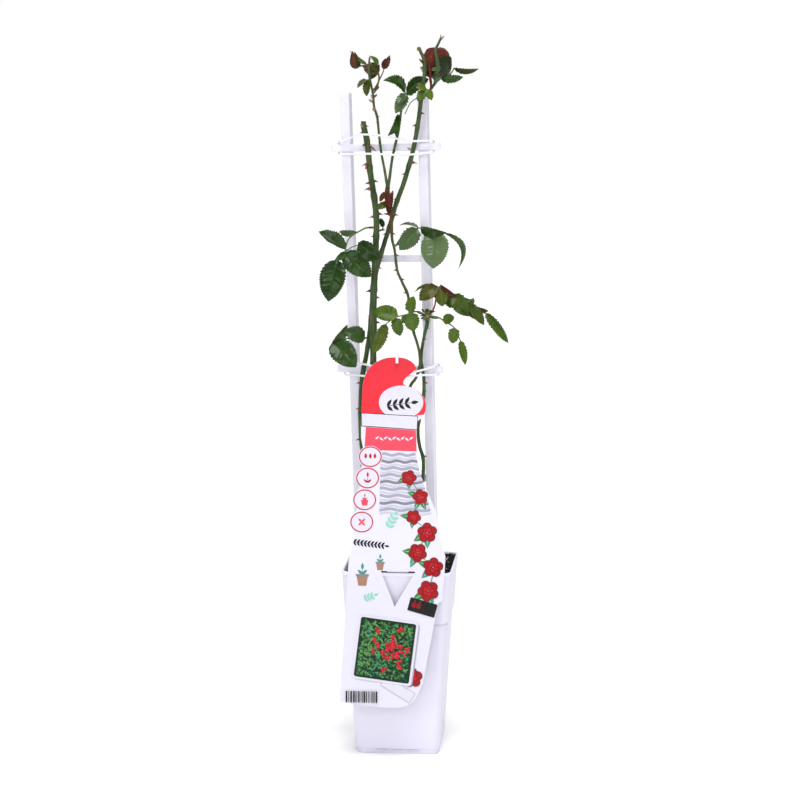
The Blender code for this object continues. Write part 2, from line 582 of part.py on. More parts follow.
def make_soil(collection, cutters, trellis):
    inside = [(half - SOIL_GAP, height) for half, height in reversed(POT_INSIDE) if height < SOIL_TOP]
    inside[0] = (inside[0][0], POT_FLOOR + SOIL_GAP)
    low_half, low = POT_INSIDE[2]
    high_half, high = POT_INSIDE[1]
    top_half = low_half + (high_half - low_half) * (SOIL_TOP - low) / (high - low) - SOIL_GAP
    rings = [square_ring(half, height) for half, height in inside]
    for share in (1.0, 0.86, 0.66, 0.46, 0.26, 0.1):
        ring = square_ring(top_half * share, SOIL_TOP)
        if share < 1.0:
            for corner in ring:
                corner.z += SOIL_LUMP * noise.noise(corner * 0.07)
        rings.append(ring)
    soil = add_object("soil", loft("soil", rings), collection, "soil")
    holes = []
    for name, points in CANES.items():
        x, y, foot, radius = points[-1]
        sides = CANE_SIDES[name]
        wide = (radius + GAP) / math.cos(math.pi / sides)
        hole = tube("hole_" + name, [(x, y, foot - GAP), (x, y, SOIL_TOP + 12)], [wide] * 2, sides, cutters)
        holes.append(hole)
    for side in (-1, 1):
        size = (POST_WIDTH + 2 * GAP, POST_DEPTH + 2 * GAP, SOIL_TOP + 20 - POST_LOW)
        hole = box(f"hole_post_{side + 1}", size, (0, 0, 0), cutters, parent=trellis)
        place_post(hole, side, POST_LOW - GAP, size[2])
        holes.append(hole)
    cut(soil, holes, cutters)
    return soil


def place_post(made, side, low, height):
    """Puts a post, or its hole, on its side of the trellis, splayed a little outwards."""
    made.rotation_euler.y = math.radians(side * POST_SPLAY)
    middle = low + height / 2
    made.location = metres((side * (POST_HALF_SPACING + math.tan(math.radians(POST_SPLAY)) * middle), 0, middle))


def make_trellis(collection, trellis):
    height = POST_TOP - POST_LOW
    for side, name in ((-1, "post_left"), (1, "post_right")):
        size = (POST_WIDTH, POST_DEPTH, height)
        post = box(name, size, (0, 0, 0), collection, "trellis_white", EDGE_ROUND, trellis)
        place_post(post, side, POST_LOW, height)
    for step, name in enumerate(("crossbar_hidden", "crossbar_lower", "crossbar_middle", "crossbar_top")):
        level = BAR_LOWEST + step * BAR_PITCH
        if name in LONG_BARS:
            length, shift = LONG_BARS[name]
            depth = -(POST_DEPTH / 2 + GAP + BAR_THICK / 2)
        else:
            half = POST_HALF_SPACING + math.tan(math.radians(POST_SPLAY)) * (level - BAR_HEIGHT)
            length = 2 * (half - POST_WIDTH / 2 - GAP)
            shift = 0.0
            depth = MIDDLE_BAR_DEPTH
        box(name, (length, BAR_THICK, BAR_HEIGHT), (shift, depth, level), collection, "trellis_white",
            EDGE_ROUND, trellis)


def make_tie(name, route, collection):
    closed = smooth_route(route + route[:1], 6.5)[:-1]
    tie = tube(name, closed, [TIE_RADIUS] * len(closed), 6, collection, cyclic=True)
    tie.data.materials.append(finish("tie_white"))
    shade_round(tie)


def card_depth(height):
    """How far forward the label's middle lies at a height: it leans back above the rim."""
    rise = height - POT_HEIGHT
    extra = CARD_SLOPE_HIGH - CARD_SLOPE_LOW
    return CARD_AT_RIM + CARD_SLOPE_LOW * rise + extra * (math.hypot(rise, CARD_BEND) + rise - CARD_BEND) / 2


def arc(centre_x, centre_z, radius_x, radius_z, start, end, steps):
    turns = [math.radians(start + (end - start) * i / steps) for i in range(steps + 1)]
    return [(centre_x + radius_x * math.cos(t), centre_z + radius_z * math.sin(t)) for t in turns]


def card_outline():
    x, z, rx, rz = CARD_BULGE
    outline = CARD_BOTTOM + CARD_RIGHT + arc(x, z, rx, rz, -38, 80, 7)
    outline += CARD_BITE + CARD_HEAD + CARD_LEFT
    for x, z in CARD_DISCS:
        outline += arc(x, z, *CARD_DISC_RADIUS, 128, 232, 5)
    return outline + [(-51, 215), (-55, 148)]


def make_tag(collection):
    curve = bpy.data.curves.new("tag", "CURVE")
    curve.dimensions = "2D"
    curve.fill_mode = "BOTH"
    curve.extrude = CARD_THICK / 2 * MM
    for outline in (card_outline(), CARD_FLAP):
        spline = curve.splines.new("POLY")
        spline.points.add(len(outline) - 1)
        for corner, (x, z) in zip(spline.points, outline):
            corner.co = (x * MM, z * MM, 0.0, 1.0)
        spline.use_cyclic_u = True
    flat = bpy.data.objects.new("tag_outline", curve)
    collection.objects.link(flat)
    shape = bmesh.new()
    shape.from_mesh(evaluated_mesh(flat))
    bpy.data.objects.remove(flat)
    bmesh.ops.remove_doubles(shape, verts=shape.verts, dist=0.002 * MM)
    lowest = min(z for _, z in CARD_BOTTOM)
    highest = max(z for _, z in CARD_HEAD)
    levels = [lowest + (highest - lowest) * i / CARD_LEVELS for i in range(CARD_LEVELS + 1)]
    for level in levels[1:-1]:
        whole = [*shape.verts, *shape.edges, *shape.faces]
        bmesh.ops.bisect_plane(shape, geom=whole, dist=1e-7, plane_co=(0, level * MM, 0), plane_no=(0, 1, 0))
    step = levels[1] - levels[0]
    for corner in shape.verts:
        x, z, lift = corner.co
        band = min(int((z / MM - lowest) / step), CARD_LEVELS - 1)
        share = (z / MM - levels[band]) / step
        depth = card_depth(levels[band]) * (1 - share) + card_depth(levels[band + 1]) * share
        corner.co = Vector((x, depth * MM + lift, z))
    bmesh.ops.triangulate(shape, faces=shape.faces)
    tag = add_object("tag", mesh_from("tag", shape), collection, "card")
    widths = [TONGUE_WIDTH[0] + (TONGUE_WIDTH[1] - TONGUE_WIDTH[0]) * i / (len(TONGUE_ROUTE) - 1)
              for i in range(len(TONGUE_ROUTE))]
    tongue = add_object("tongue", ribbon("tongue", TONGUE_X, TONGUE_ROUTE, widths, CARD_THICK), collection)
    fuse(tag, [tongue])


def ribbon(name, x, route, widths, thick):
    """A strip of given widths and thickness along a route of (y, z) points at x."""
    rings = []
    for i, (y, z) in enumerate(route):
        before = Vector(route[max(i - 1, 0)])
        after = Vector(route[min(i + 1, len(route) - 1)])
        along = (after - before).normalized()
        side = Vector((-along.y, along.x)) * thick / 2
        half = widths[i] / 2
        rings.append([Vector((x + sx * half, y + sy * side.x, z + sy * side.y))
                      for sx, sy in ((-1, -1), (1, -1), (1, 1), (-1, 1))])
    return loft(name, rings)


def make_hook(collection):
    mesh = ribbon("tag_hook", HOOK_X, HOOK_ROUTE, [HOOK_WIDTH] * len(HOOK_ROUTE), HOOK_THICK)
    add_object("tag_hook", mesh, collection, "tie_white")


def point_at_height(route, height):
    """The point and radius of a cane's route at a height."""
    for high, low in zip(route, route[1:]):
        if high.z >= height >= low.z:
            share = (high.z - height) / max(high.z - low.z, 1e-6)
            return high.lerp(low, share)
    return route[-1]


def make_prickle(name, cane_point, angle, length, collection):
    """A thin cone whose foot is sunk in the cane, pointing out and a little down."""
    turn = math.radians(angle)
    out = Vector((math.cos(turn), math.sin(turn), -PRICKLE_TILT)).normalized()
    radius = cane_point.w
    foot = length * PRICKLE_BASE_SHARE
    whole = length + 0.55 * radius
    middle = Vector(cane_point.xyz) + out * (0.45 * radius + whole / 2)
    place = Matrix.Translation(middle * MM) @ out.to_track_quat("Z", "Y").to_matrix().to_4x4()
    shape = bmesh.new()
    bmesh.ops.create_cone(shape, cap_ends=True, segments=PRICKLE_SIDES, radius1=foot * MM, radius2=0,
                          depth=whole * MM, matrix=place)
    return add_object(name, mesh_from(name, shape), collection)


def make_canes(collection):
    """The four canes with their prickles; returns each one's smooth route."""
    routes = {}
    for name, points in CANES.items():
        route = smooth_route(points, RING_SPACING)
        routes[name] = route
        cane = tube(name, route, [p.w for p in route], CANE_SIDES[name], collection)
        parts = []
        if name == "cane_fork":
            for label, branch in zip(("left", "right"), FORK_BRANCHES):
                path = smooth_route(branch, RING_SPACING)
                routes[f"cane_fork_{label}"] = path
                parts.append(tube(f"fork_{label}", path, [p.w for p in path], 6, collection))
        for count, (height, angle, length) in enumerate(PRICKLES[name]):
            point = point_at_height(route, height)
            parts.append(make_prickle(f"{name}_prickle_{count}", point, angle, length, collection))
        fuse(cane, parts)
        cane.data.materials.clear()
        cane.data.materials.append(finish("cane"))
        shade_round(cane, 50)
    return routes


def blade_half_width(share):
    """Half width of a leaflet along its length, as a share of its widest."""
    rise = BLADE_PEAK / (1 - BLADE_PEAK) * 0.9
    peak = BLADE_PEAK ** rise * (1 - BLADE_PEAK) ** 0.9
    return share ** rise * (1 - share) ** 0.9 / peak


def make_leaflet(name, row, collection):
    """A toothed blade folded along its rib, closed and with both faces split alike."""
    base, tip = Vector(row["base"]), Vector(row["tip"])
    along = (tip - base).normalized()
    length = (tip - base).length
    face = Vector((0.0, -1.0, 0.25))
    up = (face - along * face.dot(along)).normalized()
    up = Matrix.Rotation(math.radians(row["roll"]), 3, along) @ up
    side = up.cross(along)
    fold = math.radians(row["fold"])
    teeth = row["teeth"]
    draw = random.Random(f"{SEED} {name}")

    def spot(share, across):
        """The place on the blade at a share of its length, and the way its face looks there."""
        hump = 4 * share * (1 - share)
        lateral = abs(across) * math.cos(fold) * math.copysign(1, across) + row["sweep"] * length * hump
        lift = abs(across) * math.sin(fold) + row["arch"] * length * hump
        turned = -math.copysign(math.sin(fold), across) if across else 0.0
        tilt = math.cos(fold) if across else 1 / math.cos(fold)
        place = base + along * share * length + side * lateral + up * lift
        return place, (side * turned + up * tilt) * BLADE_THICK / 2

    shape = bmesh.new()

    def corner_pair(share, across):
        place, out = spot(share, across)
        return shape.verts.new((place + out) * MM), shape.verts.new((place - out) * MM)

    ribs = [corner_pair(i / teeth, 0.0) for i in range(teeth + 1)]
    half = row["width"] / 2
    for hand in (-1, 1):
        notches = [ribs[0]]
        for i in range(1, teeth):
            share = i / teeth
            notches.append(corner_pair(share, hand * half * blade_half_width(share) * (1 - NOTCH_DEPTH)))
        notches.append(ribs[-1])
        for i in range(teeth):
            share = (i + TOOTH_LEAN) / teeth
            reach = hand * half * blade_half_width(share) * draw.uniform(0.95, 1.05)
            tooth = corner_pair(share, reach)
            low, high = notches[i], notches[i + 1]
            faces = [(ribs[i], tooth, ribs[i + 1])]
            if i:
                faces.append((ribs[i], low, tooth))
            if i < teeth - 1:
                faces.append((ribs[i + 1], tooth, high))
            for a, b, c in faces:
                shape.faces.new((a[0], b[0], c[0]))
                shape.faces.new((a[1], c[1], b[1]))
            for a, b in ((low, tooth), (tooth, high)):
                shape.faces.new((a[0], b[0], b[1]))
                shape.faces.new((a[0], b[1], a[1]))
    return add_object(name, mesh_from(name, shape), collection)


def seat_on(cane, stalk):
    """The stalk's route, begun a small gap off the cane's skin."""
    start = Vector(stalk[0])
    near = min(cane, key=lambda p: (p.xyz - start).length)
    index = cane.index(near)
    best = None
    for a, b in ((cane[max(index - 1, 0)], near), (near, cane[min(index + 1, len(cane) - 1)])):
        span = b.xyz - a.xyz
        share = 0.0 if span.length == 0 else (start - a.xyz).dot(span) / span.length_squared
        foot = a.lerp(b, min(max(share, 0.0), 1.0))
        if best is None or (foot.xyz - start).length < (best.xyz - start).length:
            best = foot
    out = (start - best.xyz).normalized()
    seat = best.xyz + out * (best.w + GAP)
    return [tuple(seat), tuple(seat + out * 2.0), *stalk[1:]]


def make_leaf(name, leaf, canes, collection):
    """A compound leaf or a shoot: its stalk, side twigs and leaflets in one body."""
    stalk = leaf["stalk"]
    if leaf["cane"]:
        stalk = seat_on(canes[leaf["cane"]], stalk)
    route = smooth_route(stalk, 9.0)
    radii = [0.95 - 0.3 * i / (len(route) - 1) for i in range(len(route))]
    body = tube(name, route, radii, 6, collection)
    parts = []
    for count, twig in enumerate(leaf.get("twigs", [])):
        path = smooth_route(twig, 9.0)
        parts.append(tube(f"{name}_twig_{count}", path, [0.7] * len(path), 6, collection))
    for count, row in enumerate(leaf["leaflets"]):
        parts.append(make_leaflet(f"{name}_{count}", row, collection))
    fuse(body, parts)
    body.data.materials.clear()
    body.data.materials.append(finish(leaf["colour"]))


def make_petal(name, centre, radius, height, middle, span, closing, collection):
    """One cupped petal: a thin curved shell round the bloom's upright middle line."""
    across, up = PETAL_GRID
    draw = random.Random(f"{SEED} {name}")
    waves = [draw.uniform(-1, 1) for _ in range(across + 1)]

    def spot(i, j, inset):
        u = 2 * i / across - 1
        v = j / up
        turn = math.radians(middle + span / 2 * u * (1 - 0.28 * v ** 3))
        swell = math.sin(math.pi * (0.10 + (0.40 + closing * 0.75) * v)) ** 0.8
        out = radius * swell + waves[i] * 0.5 * v - inset
        rise = height * (v - 0.10 * u * u * v + 0.02 * waves[i] * v) + 1.0
        return Vector(centre) + Vector((out * math.cos(turn), out * math.sin(turn), rise))

    shape = bmesh.new()
    skins = [[[shape.verts.new(spot(i, j, inset) * MM) for j in range(up + 1)] for i in range(across + 1)]
             for inset in (0.0, PETAL_THICK)]
    outer, inner = skins
    for i in range(across):
        for j in range(up):
            quad = ((i, j), (i + 1, j), (i + 1, j + 1), (i, j + 1))
            for a, b, c in ((0, 1, 2), (0, 2, 3)):
                p, q, r = quad[a], quad[b], quad[c]
                shape.faces.new((outer[p[0]][p[1]], outer[q[0]][q[1]], outer[r[0]][r[1]]))
                shape.faces.new((inner[p[0]][p[1]], inner[r[0]][r[1]], inner[q[0]][q[1]]))
    rim = [(i, 0) for i in range(across)] + [(across, j) for j in range(up)]
    rim += [(i, up) for i in range(across, 0, -1)] + [(0, j) for j in range(up, 0, -1)]
    for (a, b), (c, d) in zip(rim, rim[1:] + rim[:1]):
        shape.faces.new((outer[a][b], inner[a][b], inner[c][d]))
        shape.faces.new((outer[a][b], inner[c][d], outer[c][d]))
    return add_object(name, mesh_from(name, shape), collection)


def ellipsoid(name, base, tip, radius, collection, segments=10, rings=7):
    """A closed egg from base to tip, in millimetres."""
    base, tip = Vector(base), Vector(tip)
    axis = tip - base
    place = Matrix.Translation((base + tip) / 2 * MM) @ axis.to_track_quat("Z", "Y").to_matrix().to_4x4()
    size = Matrix.Diagonal((radius * MM, radius * MM, axis.length / 2 * MM, 1.0))
    shape = bmesh.new()
    bmesh.ops.create_uvsphere(shape, u_segments=segments, v_segments=rings, radius=1.0, matrix=place @ size)
    return add_object(name, mesh_from(name, shape), collection)


def make_bloom(collection):
    centre = Vector(BLOOM_CENTRE)
    core = ellipsoid("bloom_petals", centre + Vector((0, 0, -1.4)), centre + Vector((0, 0, 22)), BLOOM_CUP,
                     collection)
    parts = []
    for radius, height, petals, turn, closing in BLOOM_LAYERS:
        for i in range(petals):
            middle = turn + 360 * i / petals
            parts.append(make_petal(f"petal_{radius}_{i}", centre, radius, height, middle, 440 / petals,
                                    closing, collection))
    fuse(core, parts)
    core.data.materials.clear()
    core.data.materials.append(finish("petal_red"))
    shade_round(core, 50)


def make_bloom_greens(canes, collection):
    """The bloom's stalk, sepals, the leaflets under it and the cut stem before it."""
    stalk = smooth_route(seat_on(canes["cane_bloom"], BLOOM_STALK), 5.0)
    body = tube("bloom_stalk", stalk, [1.3 + 1.0 * (i / (len(stalk) - 1)) ** 3 for i in range(len(stalk))],
                8, collection)
    stem = smooth_route([(*p, r) for p, r in zip(BLOOM_STEM, BLOOM_STEM_RADII)], 8.0)
    twig = smooth_route(BLOOM_TWIG, 6.0)
    x, y, _ = BLOOM_CENTRE
    parts = [
        tube("bloom_stem", stem, [p.w for p in stem], 8, collection),
        tube("bloom_twig", twig, [0.9] * len(twig), 6, collection),
        tube("receptacle", [(x, y, z) for _, z in RECEPTACLE], [r for r, _ in RECEPTACLE], 12, collection),
    ]
    for i, (middle, height, span) in enumerate(SEPALS):
        parts.append(make_petal(f"sepal_{i}", (x, y, BLOOM_SEAT), SEPAL_RADIUS, height, middle, span, 0.0,
                                collection))
    parts += [make_leaflet(f"bloom_green_{i}", row, collection) for i, row in enumerate(BLOOM_GREENS)]
    fuse(body, parts)
    body.data.materials.clear()
    body.data.materials.append(finish("leaf_light"))


def make_buds(canes, collection):
    body = ellipsoid("bud_olive", *BUD_OLIVE, collection)
    stalk = smooth_route(seat_on(canes["cane_fork_left"], BUD_STALK), 6.0)
    parts = [tube("bud_stalk", stalk, [0.9] * len(stalk), 6, collection)]
    parts += [make_leaflet(f"bud_green_{i}", row, collection) for i, row in enumerate(BUD_GREENS)]
    fuse(body, parts)
    red = ellipsoid("bud_red", *BUD_RED, collection)
    parts = [tube("bud_red_neck", BUD_RED_NECK, [0.9] * len(BUD_RED_NECK), 6, collection)]
    parts += [make_leaflet(f"bud_red_green_{i}", row, collection) for i, row in enumerate(BUD_RED_GREENS)]
    fuse(red, parts)
    for made, colour in ((body, "leaf_olive"), (red, "petal_red")):
        made.data.materials.clear()
        made.data.materials.append(finish(colour))


def main():
    for old in list(bpy.data.objects):
        bpy.data.objects.remove(old)
    rose = bpy.data.collections.new("climbing_rose")
    cutters = bpy.data.collections.new("cutters")
    for collection in (rose, cutters):
        bpy.context.scene.collection.children.link(collection)
    trellis = bpy.data.objects.new("trellis_frame", None)
    rose.objects.link(trellis)
    trellis.location = metres(TRELLIS_FOOT)
    trellis.rotation_euler = (0.0, math.radians(TRELLIS_LEAN), math.radians(TRELLIS_YAW))
    make_pot(rose, cutters)
    make_soil(rose, cutters, trellis)
    make_trellis(rose, trellis)
    make_tie("tie_top", TIE_TOP_ROUTE, rose)
    make_tie("tie_lower", TIE_LOW_ROUTE, rose)
    make_tag(rose)
    make_hook(rose)
    canes = make_canes(rose)
    for name, leaf in LEAVES.items():
        make_leaf(name, leaf, canes, rose)
    make_bloom(rose)
    make_bloom_greens(canes, rose)
    make_buds(canes, rose)


main()
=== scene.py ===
"""The look of the climbing rose: fine leaves, canes, bloom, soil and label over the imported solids.

Tables are in millimetres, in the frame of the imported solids; meshes are in metres.
"""

import math
import random
from math import cos, pi, radians, sin

import bmesh
import bpy
from mathutils import Matrix, Vector, noise


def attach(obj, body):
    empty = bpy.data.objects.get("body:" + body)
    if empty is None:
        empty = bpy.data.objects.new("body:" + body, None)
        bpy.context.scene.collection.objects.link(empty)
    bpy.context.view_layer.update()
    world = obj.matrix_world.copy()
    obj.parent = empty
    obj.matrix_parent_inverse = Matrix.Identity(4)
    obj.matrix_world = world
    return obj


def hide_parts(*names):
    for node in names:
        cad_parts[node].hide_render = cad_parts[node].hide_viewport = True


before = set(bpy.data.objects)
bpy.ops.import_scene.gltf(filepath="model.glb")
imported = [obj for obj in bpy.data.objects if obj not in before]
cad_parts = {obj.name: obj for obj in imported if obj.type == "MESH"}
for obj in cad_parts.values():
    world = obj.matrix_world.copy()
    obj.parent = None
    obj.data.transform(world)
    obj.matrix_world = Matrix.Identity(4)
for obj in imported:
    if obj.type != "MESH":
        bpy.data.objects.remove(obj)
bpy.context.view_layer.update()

MM = 0.001
SEED = 7

# Camera: fitted to the corners of the pot in a photo 800 pixels wide, with a focal length of 2420 pixels
CAMERA_DISTANCE = 2600.0
CAMERA_AZIMUTH = 5.07
CAMERA_PITCH = 8.15
CAMERA_HEIGHT = 755.0
CAMERA_SHIFT = -0.9
SENSOR_WIDTH = 36.0
CAMERA_LENS = 2420 / 800 * SENSOR_WIDTH

# Light: angles in degrees, lamps as name, place and size in metres, and power
ROOM_LIGHT = 0.30
SUN_POWER = 2.85
SUN_SPREAD = 40
SUN_TILT = (16, 2, 0)
LAMP_AIM = (0, 0, 0.4)
LAMPS = (
    ("key", (0.7, -2.3, 1.5), 1.3, 9.5), ("fill", (-1.5, -1.9, 1.1), 1.0, 6.5),
    ("glint", (0.1, -2.5, 1.45), 0.42, 4.0), ("back", (0.4, 2.0, 1.8), 1.0, 6.0),
)
FLOOR_SIZE = 8.0

# Pot: its walls as (half width, height); shares and depths of its round corners, slots and recesses
POT_HEIGHT = 204.0
POT_FLOOR = 2.2
COLLAR_FOOT = 147.5
CORNER_SHARE = 0.17
CORNER_STEPS = 12
POT_OUTSIDE = [
    (43.6, 0.0), (44.2, 0.3), (44.6, 0.9), (44.8, 1.8), (44.8, 5.2), (45.2, 5.7), (45.7, 6.0), (45.9, 6.6),
    (54.4, COLLAR_FOOT - 1.7), (53.9, COLLAR_FOOT - 1.5), (53.9, COLLAR_FOOT - 0.1), (55.7, COLLAR_FOOT),
    (56.1, COLLAR_FOOT + 0.4), (56.3, COLLAR_FOOT + 1.2), (59.0, 198.9), (59.1, 199.4), (59.6, 199.8),
    (59.9, 200.4), (60.0, 201.2),
    (60.0, POT_HEIGHT - 0.9), (59.8, POT_HEIGHT - 0.3), (59.3, POT_HEIGHT),
]
POT_INSIDE = [
    (57.9, POT_HEIGHT), (57.5, POT_HEIGHT - 0.3), (57.3, POT_HEIGHT - 0.9), (54.8, 150.0), (53.0, 146.0),
    (44.2, 8.0), (43.0, POT_FLOOR),
]
POT_FOOT = 44.8
POT_SHARP = 32
DRAIN_WIDTH = 13.0
DRAIN_PITCH = 16.5
DRAIN_LOW = 2.6
DRAIN_HIGH = 5.0
DRAIN_DEPTH = 1.3
DRAIN_SLIT = 2.6
RECESS_WIDTH = 52.0
RECESS_DEPTH = 0.6

# Soil, with loose crumbs on it and on the wall above it; the crumbs crowded on the right wall are partly real
# soil and partly painted shade inside the pot
SOIL_TOP = 187.0
SOIL_HALF = 56.1
SOIL_RINGS = 44
SOIL_HEAP = 14.5
SOIL_LEFT_HEAP = 13.0
SOIL_GAP = 0.45
CRUMBS = 520
WALL_CRUMBS_AND_SHADE = 420

# Elastic rings: (x, y, z) along each strand
TIE_RADIUS = 1.15
TIE_TOP_ROUTE = [
    (-66.6, 21.0, 660.6), (-56, 15.5, 665), (-46, 7.4, 668), (-38, 5.2, 669), (-22, 3.0, 668),
    (-5, 0.4, 665), (12, -2.2, 662.6), (26, -2.2, 662.6), (33, 0.0, 662.6), (34.6, 3.4, 662.4),
    (35.4, 6.6, 659), (35.4, 6.8, 654.5), (34.6, 3.6, 650.6), (33, -0.2, 650.4), (26, -2.2, 649.6),
    (12, -2.4, 648.2), (-5, 0.2, 647.6), (-22, 3.0, 648.2), (-38, 5.6, 648.4), (-46, 8.0, 648),
    (-56, 15.5, 647.6), (-66.6, 21.0, 647.2), (-69.2, 25.4, 647.2), (-70.0, 30.0, 650.6),
    (-70.0, 30.0, 656.8), (-69.2, 25.4, 660.6),
]
TIE_LOW_ROUTE = [
    (-61, 19.8, 419.8), (-52, 13.0, 421.6), (-42, 1.0, 421.6), (-30, -4.8, 420), (-14, -6.4, 416),
    (4, -7.8, 413.6), (13, -8.8, 414.6), (21, -8.4, 416), (29, -5.6, 418), (35, -3.8, 419.8),
    (38.6, -1.4, 421.8), (40.4, 2.6, 422.2), (41.4, 7.0, 419.4), (41.4, 7.2, 413.6), (40.4, 3.0, 410.4),
    (38.6, -1.4, 410.2), (35, -3.8, 410.8), (29, -5.6, 411.2), (21, -8.4, 411), (13, -8.8, 410.4),
    (4, -7.8, 409.6), (-14, -6.6, 408.8), (-30, -4.8, 408.4), (-42, 1.0, 408.6), (-52, 11.0, 408.4),
    (-58, 16.0, 407.2), (-61.4, 20.6, 406.8), (-63.6, 25.0, 407.2), (-64.2, 29.2, 410.4),
    (-64.2, 29.2, 415.6), (-63.4, 24.6, 419.4),
]

# Label: outlines as (x, z), routes of its tongue and hook as (y, z)
CARD_THICK = 0.7
CARD_AT_RIM = -60.7
CARD_SLOPE_LOW = 0.07
CARD_SLOPE_HIGH = 0.239
CARD_BEND = 18.0
CARD_STEP = 8.0
CARD_BOTTOM = [(-60, 64), (-38, 61), (-15, 59), (3, 59), (11, 60.5), (17.5, 64), (22, 69), (26, 77), (30, 86)]
CARD_RIGHT = [
    (38, 130), (46, 173), (50, 175), (52, 198), (53, 222), (49, 236), (45, 254), (42, 269),
    (31, 293), (25, 306), (22, 317), (20, 331), (19, 362),
]
CARD_BULGE = (7, 379, 22, 20)
CARD_BITE = [(4.4, 402), (4.2, 405), (6.5, 408.5), (11.3, 412.7)]
CARD_HEAD = [
    (18.3, 418.6), (15.4, 423.3), (11, 426.8), (5, 429.4), (-5, 430.3), (-14, 429.6), (-22, 427),
    (-31, 421), (-37, 412), (-40, 401),
]
CARD_LEFT = [(-41, 369), (-40.5, 345)]
CARD_LEFT_FOOT = [(-51, 215), (-55, 148)]
CARD_DISCS = [(-30, 325.4), (-32.4, 303.1), (-35.1, 280.2), (-37.7, 256.9)]
CARD_DISC_RADIUS = (13.2, 11.6)
CARD_FLAP = [(-16, 206), (21, 206), (-1, 168)]
TONGUE_ROUTE = [(-61.2, 207.0), (-60.2, 205.4), (-57.4, 205.2), (-56.3, 204.0), (-55.8, 198), (-55.2, 190.5)]
TONGUE_WIDTH = (26, 7)
TONGUE_X = 2.0
HOOK_X = -3.0
HOOK_WIDTH = 3.0
HOOK_THICK = 1.2
HOOK_ROUTE = [
    (13.8, 409), (13.8, 418.6), (12.6, 420.3), (8.6, 420.6), (4, 423), (-4, 430), (-8.4, 433.2),
    (-11.6, 433.0), (-12.9, 430.4), (-13.4, 424.5),
]
RIBBON_SECTION = ((-1, -0.6), (-0.9, -1), (0.9, -1), (1, -0.6), (1, 0.6), (0.9, 1), (-0.9, 1), (-1, 0.6))
RIBBON_SHARP = 40

# Print on the label: flowers along a winding stem as (x, z, size), and the panel's middle, tilt and size
PRINT_COLOURS = {
    "red": (0.76, 0.026, 0.046), "crimson": (0.52, 0.010, 0.024), "mid_red": (0.33, 0.008, 0.011),
    "deep_red": (0.14, 0.003, 0.005), "coral": (0.76, 0.068, 0.112), "grey": (0.36, 0.36, 0.46),
    "mist": (0.55, 0.54, 0.64), "slate": (0.22, 0.22, 0.28), "ink": (0.010, 0.009, 0.010),
    "white": (0.685, 0.67, 0.775), "mint": (0.28, 0.62, 0.50), "teal": (0.060, 0.27, 0.17),
    "leaf": (0.022, 0.105, 0.030), "leaf_mid": (0.055, 0.20, 0.045), "leaf_bright": (0.12, 0.30, 0.08),
    "leaf_deep": (0.006, 0.026, 0.010), "copper": (0.36, 0.20, 0.13),
}
PRINT_MARGIN = 0.08
PRINT_RISE = 0.04
PRINT_LAYER = 0.0012
HEAD_FIELDS = (
    ([(-41, 371.5), (20.5, 369), (20.2, 354), (-40.6, 357.2)], "ink"),
    ([(-40.3, 370.8), (19.9, 368.3), (19.6, 354.8), (-39.9, 358.0)], "white"),
    ([(-35.5, 356.6), (18.6, 353.8), (20.0, 331.6), (-36.5, 332.6)], "coral"),
)
MARK_DISCS = ((13.0, 11.4, "white"), (12.4, 10.9, "crimson"), (12.4 - 1.3, 10.9 - 1.3, "white"))
WAVES = 18
WAVE_TONES = ("grey", "mist", "slate", "mist", "grey", "mist")
GARLAND = [
    (12, 304, 8.6), (25, 284, 8.8), (18, 263, 8.4), (33, 247, 11.2), (23, 226, 10.6), (40, 211, 11.2),
    (35, 186, 12.0),
]
PANEL = (-11.0, 121.0)
PANEL_TILT = -7.0
PANEL_SIZE = (61.0, 66.0)
PANEL_LEAVES = 350
BERRY_BUNCHES = 30

